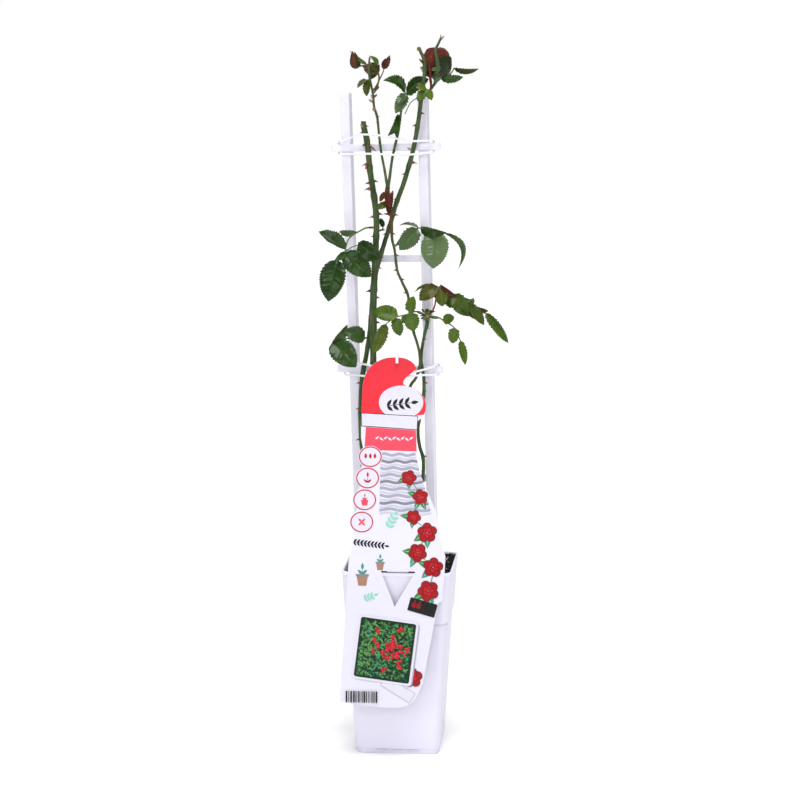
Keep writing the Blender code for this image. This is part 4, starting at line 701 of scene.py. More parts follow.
def blade(shape, row, seed):
    """Adds a leaflet: a folded, puckered sheet whose rows follow its side veins to the teeth."""
    draw = random.Random(f"{SEED} {seed}")
    base, tip = Vector(row["base"]), Vector(row["tip"])
    along = (tip - base).normalized()
    length = (tip - base).length
    up = (BLADE_FACE - along * BLADE_FACE.dot(along)).normalized()
    up = Matrix.Rotation(radians(row["roll"]), 3, along) @ up
    side = up.cross(along)
    fold = radians(row["fold"])
    half = row["width"] / 2
    teeth = max(6, round(length / TOOTH_PITCH))
    stops = [0.0] + [(i + share) / teeth for i in range(teeth) for share in TOOTH_STOPS]
    spread = [j / BLADE_COLUMNS for j in range(BLADE_COLUMNS, -BLADE_COLUMNS - 1, -1)]
    phase, waves = draw.uniform(0, 6.28), draw.uniform(2.2, 3.4)
    wave = draw.uniform(0.035, 0.06) * half * row["wave"]
    tint = (draw.random(), row["flush"], row["pale"])
    rows = []
    for i, stop in enumerate(stops):
        tooth = TOOTH_REACH[(i - 1) % 3] * min(1.0, half / 7) if 0 < stop < 1 else 0.0
        line = []
        for s in spread:
            slant = VEIN_SLANT * abs(s) * sin(pi * stop)
            share = min(stop + slant * (1 - stop), 1.0)
            reach = half * blade_half_width(share, row["full"]) * s
            if abs(s) == 1:
                jag = row["teeth"] * (tooth + draw.uniform(-0.16, 0.16))
                reach += jag * s * min(1.0, 6 * share * (1 - share))
            hump = 4 * share * (1 - share)
            crease = math.sqrt(reach * reach + 0.3) - math.sqrt(0.3)
            pucker = -cos(2 * pi * VEINS * stop) * 0.010 * half * sin(pi * abs(s)) * hump
            edge = wave * s * s * sin(waves * 2 * pi * share + phase + (1.7 if s > 0 else 0)) * hump
            curl = -0.07 * half * s ** 4 * hump
            lateral = reach * cos(fold) + row["sweep"] * length * hump
            lift = crease * sin(fold) + row["arch"] * length * hump + pucker + edge + curl
            droop = -0.03 * length * max(0.0, share - 0.8) * 5
            line.append(base + along * share * length + side * lateral + up * (lift + droop))
        rows.append(line)
    shape.grid(rows, [[((s + 1) / 2, stop) for s in spread] for stop in stops], tint=tint, slot=row["slot"])


# ---- finishes ----

def new_node(tree, kind, inputs=None, **settings):
    """The outputs of a new node with its settings and its inputs, each a value or another node's output."""
    made = tree.nodes.new("ShaderNode" + kind)
    for key, value in settings.items():
        setattr(made, key, value)
    for key, value in (inputs or {}).items():
        if isinstance(value, bpy.types.NodeSocket):
            tree.links.new(value, made.inputs[key])
        else:
            made.inputs[key].default_value = value
    return made.outputs


class Look:
    """A material in the making: its shader's plain values and the nodes that feed it."""

    def __init__(self, name, roughness, **values):
        self.material = bpy.data.materials.new(name)
        self.material.use_nodes = True
        self.tree = self.material.node_tree
        self.shader = self.tree.nodes["Principled BSDF"].inputs
        self.shader["Roughness"].default_value = roughness
        for key, value in values.items():
            self.shader[key.replace("_", " ")].default_value = value

    def node(self, kind, inputs=None, **settings):
        return new_node(self.tree, kind, inputs, **settings)

    def maths(self, operation, *values, clamp=False):
        return self.node("Math", dict(enumerate(values)), operation=operation, use_clamp=clamp)[0]

    def times(self, a, b):
        return self.maths("MULTIPLY", a, b)

    def plus(self, a, b, share, clamp=False):
        """One value and a share of another."""
        return self.maths("ADD", a, self.times(b, share), clamp=clamp)

    def ramp(self, factor, *stops):
        """Colours or greys over a factor, from (place, value) pairs."""
        made = self.node("ValToRGB", {"Fac": factor})["Color"]
        elements = made.node.color_ramp.elements
        while len(elements) < len(stops):
            elements.new(0.5)
        for element, (place, value) in zip(elements, stops):
            element.position = place
            element.color = (value, value, value, 1) if isinstance(value, (int, float)) else (*value, 1)
        return made

    def lay(self, colour, over, factor):
        """One colour laid over another by a factor."""
        over = (*over, 1) if isinstance(over, tuple) else over
        return self.node("Mix", {0: factor, 6: colour, 7: over}, data_type="RGBA")[2]

    def noise(self, scale, detail=4.0, vector=None, distort=0.0):
        """Cloudy noise over the object's own coordinates, or over the given vector."""
        if vector is None:
            vector = self.node("TexCoord")["Object"]
        return self.node("TexNoise", {"Vector": vector, "Scale": scale, "Detail": detail, "Roughness": 0.55,
                                      "Distortion": distort})["Fac"]

    def stretched(self, vector, scale):
        return self.node("Mapping", {"Vector": vector, "Scale": scale})["Vector"]

    def tints(self):
        """The three parts of the tint: chance, flush and paleness on leaves; flush and chance on bark."""
        tint = self.node("VertexColor", layer_name="tint")["Color"]
        return self.node("SeparateColor", {"Color": tint})

    def map_place(self):
        """The place on the map, and its parts."""
        place = self.node("UVMap", uv_map="UVMap")["UV"]
        return place, self.node("SeparateXYZ", {"Vector": place})

    def done(self, colour, height, strength, distance):
        """Gives the material its colour and its raised skin."""
        skin = self.node("Bump", {"Height": height, "Strength": strength, "Distance": distance * MM})
        self.tree.links.new(colour, self.shader["Base Color"])
        self.tree.links.new(skin["Normal"], self.shader["Normal"])
        return self.material


def leaf_finish(name, deep, fresh, vein, roughness, under=False, gloss=0.15):
    """A leaf's face or back: mottled green, paler ribs, a red flush, and a paler green laid over whole
    leaflets by the tint's paleness.
    """
    look = Look(name, roughness, Specular_IOR_Level=0.08 if under else 0.10,
                Coat_Weight=0.0 if under else gloss, Coat_Roughness=0.10)
    chance, flush, pale = look.tints()
    place, where = look.map_place()
    off = look.maths("ABSOLUTE", look.maths("SUBTRACT", look.times(where["X"], 2.0), 1.0))
    rib = look.ramp(off, (0.0, 1.0), (0.03, 0.8), (0.06, 0.0))
    side_wave = look.maths("PINGPONG", look.times(where["Y"], float(VEINS)), 0.5)
    side_vein = look.ramp(side_wave, (0.0, 1.0), (0.035, 0.5), (0.08, 0.0))
    fade = look.ramp(off, (0.0, 1.0), (0.75, 0.5), (0.95, 0.0))
    veins = look.maths("MAXIMUM", rib, look.times(side_vein, fade))
    cloud = look.noise(90.0, 5.0)
    mottle = look.plus(look.times(cloud, 0.9), chance, 0.35)
    colour = look.ramp(mottle, (0.35, deep), (0.85, fresh))
    colour = look.lay(colour, PALE_LEAF, look.times(pale, 0.85))
    red = look.ramp(cloud, (0.3, (0.058, 0.003, 0.007)), (0.7, (0.140, 0.009, 0.013)))
    spread = look.ramp(off, (0.0, 0.55), (0.6, 0.75), (1.0, 1.0))
    colour = look.lay(colour, red, look.times(flush, spread))
    colour = look.lay(colour, vein, look.times(veins, 0.38))
    cells = look.node("TexVoronoi", {"Vector": place, "Scale": 26.0}, feature="DISTANCE_TO_EDGE")
    net = look.ramp(cells["Distance"], (0.0, 0.0), (0.12, 1.0))
    return look.done(colour, look.plus(look.times(veins, -0.6), net, 0.25), 0.35 if under else 0.4, 0.22)


def bark_finish(name, deep, fresh, roughness=0.5):
    """Green bark with long streaks, a red flush and small corky specks."""
    look = Look(name, roughness, Specular_IOR_Level=0.18)
    flush = look.tints()[0]
    where = look.node("TexCoord")["Object"]
    streak = look.noise(700.0, 3.0, look.stretched(where, (1.0, 1.0, 0.12)))
    cloud = look.noise(45.0)
    colour = look.ramp(look.plus(look.times(streak, 0.5), cloud, 0.5), (0.34, deep), (0.66, fresh))
    warm = look.ramp(streak, (0.3, (0.065, 0.008, 0.006)), (0.7, (0.195, 0.040, 0.018)))
    patches = look.plus(flush, look.maths("SUBTRACT", cloud, 0.60), 3.0, clamp=True)
    colour = look.lay(colour, warm, look.times(patches, 0.85))
    specks = look.node("TexVoronoi", {"Vector": where, "Scale": 420.0, "Randomness": 1.0})
    dots = look.ramp(specks["Distance"], (0.0, 1.0), (0.10, 1.0), (0.16, 0.0))
    colour = look.lay(colour, (0.22, 0.17, 0.09), look.times(dots, 0.35))
    return look.done(colour, look.plus(streak, dots, 0.5), 0.35, 0.25)


def mottled_finish(name, deep, fresh, roughness, scale=120.0, rise=0.2, strength=0.25, **values):
    """Two close colours in a cloud, with a slightly uneven skin."""
    look = Look(name, roughness, **values)
    cloud = look.noise(scale, 5.0)
    return look.done(look.ramp(cloud, (0.3, deep), (0.7, fresh)), cloud, strength, rise)


def petal_finish(name):
    """Wilted petal: dark red with veins along it and a dry brown rim."""
    look = Look(name, 0.62, Specular_IOR_Level=0.12, Sheen_Weight=0.05)
    place, where = look.map_place()
    lines = look.noise(1.0, 4.0, look.stretched(place, (34.0, 3.0, 1.0)), 0.6)
    cloud = look.noise(140.0)
    colour = look.ramp(look.plus(look.times(lines, 0.6), cloud, 0.4), (0.32, (0.030, 0.003, 0.003)),
                       (0.50, (0.105, 0.014, 0.010)), (0.70, (0.21, 0.062, 0.034)))
    rim = look.ramp(look.plus(where["Y"], cloud, 0.25), (1.02, 0.0), (1.16, 0.7))
    return look.done(look.lay(colour, (0.16, 0.085, 0.035), rim), lines, 0.6, 0.5)


def plastic_finish(name, colour, roughness, scale=14.0):
    """Smooth white plastic with faint smudges and a fine skin."""
    look = Look(name, roughness, Specular_IOR_Level=0.45)
    cloud = look.noise(scale, 6.0)
    uneven = look.ramp(cloud, (0.3, roughness * 0.85), (0.7, roughness * 1.2))
    look.tree.links.new(uneven, look.shader["Roughness"])
    shade = tuple(c * 0.955 for c in colour)
    return look.done(look.ramp(cloud, (0.35, shade), (0.6, colour)), look.noise(900.0, 2.0), 0.06, 0.05)


# The makers of the finishes, with the name of each finish, the name of its material and what it asks for
MAKERS = (
    (leaf_finish, (
        ("leaf_dark", "leaf_dark_face", (0.004, 0.021, 0.001), (0.022, 0.066, 0.002), (0.055, 0.11, 0.025),
         0.30, False, 0.32),
        ("leaf_dark_back", "leaf_dark_back", (0.09, 0.15, 0.07), (0.19, 0.27, 0.14), (0.26, 0.33, 0.20),
         0.55, True),
        ("leaf_light", "leaf_light_face", (0.024, 0.058, 0.003), (0.082, 0.140, 0.009), (0.15, 0.22, 0.05),
         0.34),
        ("leaf_light_back", "leaf_light_back", (0.14, 0.21, 0.07), (0.24, 0.32, 0.13), (0.30, 0.38, 0.18),
         0.55, True),
        ("leaf_young", "leaf_young_face", (0.012, 0.030, 0.002), (0.045, 0.080, 0.006), (0.11, 0.12, 0.03),
         0.32),
        ("leaf_young_back", "leaf_young_back", (0.10, 0.12, 0.05), (0.19, 0.20, 0.10), (0.24, 0.22, 0.12),
         0.55, True),
        ("sepal", "sepal", (0.008, 0.016, 0.005), (0.034, 0.048, 0.014), (0.07, 0.07, 0.03), 0.5),
    )),
    (bark_finish, (
        ("bark", "bark", (0.020, 0.042, 0.011), (0.080, 0.130, 0.048)),
        ("twig", "twig", (0.055, 0.095, 0.025), (0.15, 0.215, 0.075), 0.45),
        ("twig_red", "twig_red", (0.16, 0.028, 0.012), (0.34, 0.085, 0.035), 0.4),
    )),
    (petal_finish, (("petal", "petal"),)),
    (mottled_finish, (
        ("prickle", "prickle", (0.085, 0.014, 0.010), (0.23, 0.055, 0.034), 0.38, 300.0),
        ("cut_wood", "cut_wood", (0.20, 0.12, 0.07), (0.46, 0.34, 0.22), 0.75, 500.0),
        ("bud_red", "bud_red", (0.075, 0.010, 0.010), (0.26, 0.060, 0.038), 0.5, 200.0),
        ("bud_olive", "bud_olive", (0.030, 0.008, 0.007), (0.125, 0.070, 0.022), 0.5, 150.0),
        ("perlite", "perlite", (0.55, 0.54, 0.52), (0.85, 0.84, 0.82), 0.9, 600.0, 0.4, 0.5),
        ("card", "card_white", (0.675, 0.66, 0.765), (0.70, 0.685, 0.79), 0.4, 40.0, 0.05, 0.05),
        ("card_back", "card_back", (0.72, 0.72, 0.74), (0.76, 0.76, 0.78), 0.45, 60.0, 0.05, 0.05),
    )),
    (plastic_finish, (
        ("pot", "pot_plastic", (0.765, 0.74, 0.875), 0.40),
        ("trellis", "trellis_plastic", (0.805, 0.79, 0.90), 0.38, 30.0),
        ("tie", "tie_elastic", (0.82, 0.81, 0.87), 0.5, 60.0),
    )),
)
FINISH = {key: maker(*rest) for maker, rows in MAKERS for key, *rest in rows}
FINISH["soil"] = mottled_finish("soil_mix", (0.002, 0.0018, 0.0016), (0.014, 0.010, 0.008), 0.95,
                                260.0, 1.2, 0.9, Specular_IOR_Level=0.1)
FINISH["chip"] = mottled_finish("bark_chip", (0.005, 0.004, 0.003), (0.040, 0.026, 0.018), 0.9,
                                420.0, 0.5, 0.6, Specular_IOR_Level=0.15)


# ---- plant ----

def at_height(route, height):
    """The point and radius of a cane's route at a height."""
    for high, low in zip(route, route[1:]):
        if high.z >= height >= low.z:
            return high.lerp(low, (high.z - height) / max(high.z - low.z, 1e-6))
    return route[-1]


def flush_at(table, height):
    """The bark's redness at a height, between the table's rows."""
    for (high, a), (low, b) in zip(table, table[1:]):
        if high >= height >= low:
            return a + (b - a) * (high - height) / (high - low)
    return table[0][1] if height > table[0][0] else table[-1][1]


def prickle(shape, point, angle, length, draw):
    """Adds a hooked prickle on a wide foot that runs along the cane."""
    turn = radians(angle)
    out = Vector((cos(turn), sin(turn), 0.0))
    aside = Vector((-sin(turn), cos(turn), 0.0))
    root = point.xyz + out * point.w * 0.75
    length *= PRICKLE_SIZE
    reach = length + point.w * 0.3
    heights = [i / PRICKLE_RINGS for i in range(PRICKLE_RINGS + 1)]
    rows = []
    for t in heights:
        middle = root + out * reach * t + Vector((0, 0, -0.34 * reach * t ** 2.2 + 0.06 * reach * t))
        tall = 0.40 * length * (1 - t) ** 1.5 + 0.05
        wide = 0.24 * length * (1 - t) ** 1.2 + 0.05
        rows.append([middle + aside * wide * cos(a) + Vector((0, 0, tall * sin(a))) for a in turns(10)])
    shape.rings(rows, heights, tint=(draw.random(), 0, 0), slot=1)


def bark_eye(shape, point, angle, size, flush):
    """Adds a small bud scale and its ledge where a leaf once stood."""
    turn = radians(angle)
    out = Vector((cos(turn), sin(turn), 0.15)).normalized()
    foot = point.xyz + out * point.w * 0.8
    egg(shape, foot - Vector((0, 0, size * 0.8)), foot + out * size * 0.7 + Vector((0, 0, size)), size * 0.55,
        10, 6, tint=(flush, 0, 0))
    ledge = [(*(foot - Vector((0, 0, size))), size * 0.35),
             (*(foot + out * size * 0.5 - Vector((0, 0, size * 0.9))), size * 0.25)]
    tube(shape, smooth_route(ledge, 1.0), 8, tint=(0.6, 0, 0))


def make_canes():
    """The canes with bark, leaf scars, prickles and cut tips; returns each one's route."""
    routes = {name: smooth_route(points, 3.0) for name, points in CANES.items()}
    for name, prickles in PRICKLES.items():
        draw = random.Random(f"{SEED} {name}")
        shape = Shape()
        branches = [name] + (["fork_left", "fork_right"] if name == "cane_fork" else [])
        for branch in branches:
            route, table = routes[branch], BARK_FLUSH[branch]
            scars = []
            height = route[0].z - draw.uniform(14, 22)
            while height > SCARS_END:
                scars.append((height, draw.uniform(0, 360)))
                height -= draw.uniform(26, 44)
            swollen = []
            for point in route:
                swell = sum(math.exp(-((point.z - h) / 3.2) ** 2) for h, _ in scars)
                swollen.append(Vector((*point.xyz, point.w * (1 + 0.14 * swell))))
            tints = [(flush_at(table, p.z), draw.random(), 0) for p in route]
            tube(shape, swollen, 16, tint=tints, cap_slot=2, rough=0.10)
            for height, angle in scars:
                point = at_height(route, height)
                bark_eye(shape, point, angle, 0.45 + 0.32 * point.w, flush_at(table, height) + 0.25)
        for height, angle, length in prickles:
            prickle(shape, at_height(routes[name], height), angle, length, draw)
        for branch in branches:
            route = routes[branch]
            for _ in range(SMALL_PRICKLES[branch != name]):
                height = draw.uniform(max(route[-1].z + 25, 210), route[0].z - 8)
                prickle(shape, at_height(route, height), draw.uniform(0, 360), draw.uniform(1.2, 2.2), draw)
        for base, tip, radius, slot, flush in STUBS[name]:
            egg(shape, base, tip, radius, 12, 8, 0.1, tint=(flush, 0, 0), slot=slot)
        shape.build(name + "_bark", ("bark", "prickle", "cut_wood", "twig"), "cane", name)
    return routes


def from_cane(stalk, cane):
    """The stalk's points, begun inside the skin of its cane if it has one."""
    if not cane:
        return stalk
    start = Vector(stalk[0])
    near = min(cane, key=lambda p: (p.xyz - start).length)
    out = (start - near.xyz).normalized()
    return [tuple(near.xyz + out * near.w * 0.5), tuple(near.xyz + out * (near.w + 1.6)), *stalk[1:]]


def leaflets(rows, seed):
    """A shape with a blade for each row."""
    shape = Shape()
    for count, row in enumerate(rows):
        blade(shape, row, f"{seed} {count}")
    return shape


def make_leaf(name, leaf, canes):
    """A compound leaf: its blades as one piece and its stalks as another."""
    points = from_cane(leaf["stalk"], canes.get(leaf["cane"]))
    stems = Shape()
    flush = leaf.get("flush", 0.12)
    route = smooth_route(with_radius(points, (1.05, 0.55)), 1.6)
    top = route[0].xyz
    thick = [Vector((*p.xyz, p.w * (1 + 0.7 * math.exp(-((p.xyz - top).length / 2.2) ** 2)))) for p in route]
    tube(stems, thick, 10, tint=(flush, 0, 0), rough=0.08)
    for twig in leaf.get("twigs", []):
        stem(stems, twig, (0.7, 0.5), 1.6, 10, tint=(flush, 0, 0))
    for row in leaf["leaflets"]:
        base = Vector(row["base"])
        along = (Vector(row["tip"]) - base).normalized()
        foot = smooth_route([(*(base - along * 0.6), 0.62), (*(base + along * 1.6), 0.45)], 0.8)
        tube(stems, foot, 8, tint=(max(flush, row["flush"]), 0, 0))
    shape = leaflets(leaf["leaflets"], name)
    if leaf["cane"]:
        start = Vector(points[0])
        out = (Vector(points[1]) - start).normalized()
        for hand in (-1, 1):
            lean = Vector((0, 0, 1)).cross(out).normalized() * hand
            foot = start + out * 2.0
            row = leaflet(foot, foot + out * 6.0 + lean * 1.8 + Vector((0, 0, 0.8)), 1.9, fold=20, flush=0.4)
            blade(shape, row, f"{name} stipule {hand}")
    look = "leaf_" + leaf["look"]
    shape.build(name + "_blades", (look, look + "_back", "leaf_light", "leaf_light_back"), leaf["slot"], name,
                thick=BLADE_THICK, under=1)
    stems.build(name + "_stalk", [leaf.get("twig", "twig")], leaf["slot"])


def petal(shape, centre, radius, height, middle, span, closing, seed, grid=PETAL_GRID, limp=1.0):
    """Adds one cupped petal from its foot up to the closing angle, crumpled and with its rim turned out."""
    draw = random.Random(f"{SEED} {seed}")
    shift = Vector([draw.uniform(-9, 9) for _ in range(3)])
    tall = height * draw.uniform(0.97, 1.0)
    floor = sin(radians(-PETAL_FOOT))
    shares = [j / grid for j in range(grid + 1)]
    rows = []
    for v in shares:
        line = []
        for i in range(grid + 1):
            u = 2 * i / grid - 1
            turn = radians(middle + span / 2 * u * (1 - 0.25 * v ** 3))
            bend = radians(PETAL_FOOT + (closing - PETAL_FOOT) * v * (1 - 0.10 * abs(u) ** 3))
            spot = Vector((cos(turn) * 5, sin(turn) * 5, v * 9)) + shift
            crumple = noise.noise(spot * 0.25) * 1.4 * v + noise.noise(spot * 0.8) * 0.5 * v
            pleat = 0.35 * v * noise.noise(Vector((u * 7, v * 1.2, shift.x)))
            rim = 0.7 * max(0.0, v - 0.86) / 0.14 * (0.3 + abs(u))
            out = radius * cos(bend) ** 0.6 + limp * (crumple + pleat - 0.5 * v) + rim
            rise = tall * (sin(bend) + floor) / (1 + floor) + limp * 0.4 * noise.noise(spot * 0.5) * v
            line.append(Vector(centre) + PETAL_LEAN * v + Vector((out * cos(turn), out * sin(turn), rise)))
        rows.append(line)
    shape.grid(rows, [[(i / grid, v) for i in range(grid + 1)] for v in shares], tint=(draw.random(), 0, 0))


def make_bloom(canes):
    """The wilted bloom: its petals, its stalk with the dry stem beside it, its sepals and small leaves."""
    petals = Shape()
    for layer, (radius, height, count, turn, closing) in enumerate(BLOOM_LAYERS):
        for i in range(count):
            petal(petals, BLOOM_CENTRE, radius, height, turn + 360 * i / count, 560 / count, closing,
                  f"petal {layer} {i}")
    petals.build("bloom_petal_layers", ["petal"], "petal_red", "bloom_petals", thick=PETAL_THICK)
    stems = Shape()
    stalk = from_cane(BLOOM_STALK, canes["cane_bloom"])
    stem(stems, stalk, (1.4, 1.7), 1.5, 12, tint=(0.55, 0, 0), rough=0.1)
    tube(stems, smooth_route(RECEPTACLE, 0.6), 24, tint=(0.15, 0, 0))
    tube(stems, smooth_route(BLOOM_STEM, 1.6), 14, slot=3, cap_slot=1, rough=0.12)
    for prong in STEM_PRONGS:
        tube(stems, smooth_route(prong, 0.6), 9, slot=1, rough=0.3)
    tube(stems, smooth_route(DRY_STRIP, 1.0), 9, slot=2, rough=0.5)
    egg(stems, *CANE_KNOB, 12, 8, 0.12, tint=(0.5, 0, 0))
    stem(stems, BLOOM_TWIG, (0.95, 0.6), 1.5, 10, tint=(0.5, 0, 0))
    x, y, z = BLOOM_CENTRE
    egg(stems, (x, y, z - 3.6), (x, y, z + 2.4), 6.2, tint=(0.4, 0, 0))
    stems.build("bloom_stems", ("twig", "cut_wood", "petal", "bark"), "leaf_light", "bloom_stalk")
    sepals = Shape()
    for count, (middle, closing, span) in enumerate(SEPALS):
        petal(sepals, (x, y, BLOOM_SEAT), SEPAL_RADIUS, BLOOM_LAYERS[-1][1] + 3, middle, span, closing,
              f"sepal {count}", 10, 0.5)
    sepals.build("bloom_sepals", ("sepal", "leaf_dark_back"), "leaf_light", thick=0.5, under=1)
    greens = leaflets(BLOOM_GREENS, "bloom green")
    greens.build("bloom_leaflets", ("leaf_dark", "leaf_dark_back"), "leaf_light", thick=BLADE_THICK, under=1)


def bud_swell(share):
    """How full a bud is along its length, as a share of its fullest."""
    share = min(max(share, 0.0), 1.0)
    return sin(pi * share ** BUD_PEAK) ** 0.8 * (1 - 0.2 * share)


def bud(shape, base, tip, radius, seed):
    """Adds a pointed bud of furled petals, each layer's edge winding round it."""
    base, axis, normal, across = axes(base, tip)
    shares = [i / BUD_RINGS for i in range(BUD_RINGS + 1)]
    rows = []
    for t in shares:
        row = []
        for turn in turns(40):
            step = (turn / (2 * pi) * 3 + 0.8 * t) % 1.0
            uneven = 1 + 0.10 * noise.noise(Vector((turn, t * 4, seed)))
            out = radius * bud_swell(t) * (0.94 + 0.09 * step) * uneven
            row.append(base + axis * t + outward(normal, across, turn) * out)
        rows.append(row)
    shape.rings(rows, [t * 0.9 for t in shares])


def calyx(shape, base, tip, radius, reach, width, flare, seed, flush):
    """Adds five narrow sepals that hug a bud from its base to past its tip, their ends frayed outward."""
    draw = random.Random(f"{SEED} {seed}")
    base, axis, normal, across = axes(base, tip)
    for count in range(5):
        middle = 2 * pi * (count + draw.uniform(-0.12, 0.12)) / 5
        long = reach * draw.uniform(0.85, 1.05)
        rows, places = [], []
        for i in range(CALYX_STEPS + 1):
            t = long * i / CALYX_STEPS
            share = i / CALYX_STEPS
            fray = 0.35 * sin(i * 2.1) * share
            half = width * sin(pi * (0.22 + 0.78 * share) ** 0.9) ** 0.8 * (1 + fray) + 0.12
            out = max(radius * bud_swell(t), 0.5) + 0.45 + flare * max(0.0, share - 0.6) ** 2 * 6
            line = []
            for j in range(-2, 3):
                turn = middle + half * j / 2 / max(out, 1.0)
                line.append(base + axis * t + outward(normal, across, turn) * (out + 0.25 * abs(j)))
            rows.append(line)
            places.append([(j / 4, share) for j in range(5)])
        shape.grid(rows, places, tint=(draw.random(), flush * draw.uniform(0.7, 1.1), 0.1))


def make_buds(canes):
    """The two buds with their necks, their sepals and the small leaves at their foot."""
    olive_stalk = (from_cane(BUD_STALK, canes["fork_left"]), (1.0, 0.9), 1.5)
    for name, body, seed, stalk, flush, rough, slot in (
            ("bud_olive", BUD_OLIVE, 2.0, olive_stalk, 0.45, 0.08, "leaf_olive"),
            ("bud_red", BUD_RED, 5.0, (BUD_RED_NECK, (0.8, 1.2), 1.2), 0.5, 0.0, "petal_red")):
        shape = Shape()
        bud(shape, *body, seed)
        stem(shape, *stalk, 10, tint=(flush, 0, 0), slot=1, rough=rough)
        shape.build(name + "_body", (name, "twig"), slot, name)
    young = ("leaf_young", "leaf_young_back")
    greens = leaflets(BUD_GREENS, "bud green")
    calyx(greens, *BUD_OLIVE, 0.8, 3.6, 0.5, "olive calyx", 0.35)
    greens.build("bud_olive_sepals", (*young, "leaf_light", "leaf_light_back"), "leaf_olive",
                 thick=BLADE_THICK, under=1)
    greens = Shape()
    calyx(greens, *BUD_RED, 1.08, 2.5, 1.1, "red calyx", 0.85)
    greens.build("bud_red_sepals", young, "petal_red", thick=0.35, under=1)


# ---- pot, soil, ties ----

def square_ring(half, height, steps=6):
    """Corners of a level square with round corners."""
    radius = half * CORNER_SHARE
    ring = []
    for quarter in range(4):
        middle = Matrix.Rotation(quarter * pi / 2, 3, "Z") @ Vector((half - radius, half - radius, 0))
        for step in range(steps + 1):
            turn = (quarter + step / steps) * pi / 2
            ring.append(middle + radius * Vector((cos(turn), sin(turn), 0)) + Vector((0, 0, height)))
    return ring


def make_pot():
    """The pot as one closed skin over rings, with the drain slots and foot recesses cut out."""
    shape = bmesh.new()
    rings = [[shape.verts.new(p * MM) for p in square_ring(half, height, CORNER_STEPS)]
             for half, height in POT_OUTSIDE + POT_INSIDE]
    for low, high in zip(rings, rings[1:]):
        for i in range(len(low)):
            j = (i + 1) % len(low)
            shape.faces.new((low[i], low[j], high[j], high[i]))
    shape.faces.new(reversed(rings[0]))
    shape.faces.new(rings[-1])
    pot = put("pot_shell", mesh_of("pot_shell", shape))
    boxes = [((RECESS_WIDTH, 2 * RECESS_DEPTH, DRAIN_HIGH + 2), (0, -POT_FOOT, DRAIN_HIGH / 2 - 1))]
    for place in (-1, 0, 1):
        for deep, low in ((DRAIN_DEPTH, DRAIN_LOW), (DRAIN_SLIT, DRAIN_HIGH - 0.6)):
            boxes.append(((DRAIN_WIDTH, 2 * deep, DRAIN_HIGH - low),
                          (place * DRAIN_PITCH, -POT_FOOT, (low + DRAIN_HIGH) / 2)))
    cutters = []
    for side in range(4):
        for size, place in boxes:
            shape = bmesh.new()
            bmesh.ops.create_cube(shape, size=MM, matrix=Matrix.Diagonal((*size, 1.0)))
            cutter = put("cutter", mesh_of("cutter", shape))
            turn = Matrix.Rotation(side * pi / 2, 4, "Z")
            cutter.matrix_world = turn @ Matrix.Translation(Vector(place) * MM)
            cutters.append(cutter)
            hole = pot.modifiers.new("hole", "BOOLEAN")
            hole.operation = "DIFFERENCE"
            hole.object = cutter
    bpy.context.view_layer.update()
    pot.data = bpy.data.meshes.new_from_object(pot.evaluated_get(bpy.context.evaluated_depsgraph_get()))
    pot.modifiers.clear()
    for cutter in cutters:
        bpy.data.objects.remove(cutter)
    pot.data.materials.clear()
    pot.data.materials.append(FINISH["pot"])
    pot.data.shade_smooth()
    pot.data.set_sharp_from_angle(angle=radians(POT_SHARP))
    seat(pot, "pot")


def soil_height(x, y):
    """The uneven top of the soil."""
    spot = Vector((x, y, 0.0))
    share = min(max((x + 0.2 * y) / 45, -1.0), 1.0)
    heap = (SOIL_HEAP if share > 0 else SOIL_LEFT_HEAP) * share * share * (3 - 2 * abs(share))
    return (SOIL_TOP - 1.0 + heap + 2.2 * noise.noise(spot * 0.035) + 1.6 * noise.noise(spot * 0.11)
            + 0.9 * noise.noise(spot * 0.35))


def crumb(shape, middle, reach, size, white, draw):
    """Adds a chip, or a white grain, that reaches from its middle to both sides."""
    egg(shape, middle - reach, middle + reach, size * draw.uniform(0.5, 0.9), 6, 4, 0.25,
        tint=(draw.random(), 0, 0), slot=int(white))


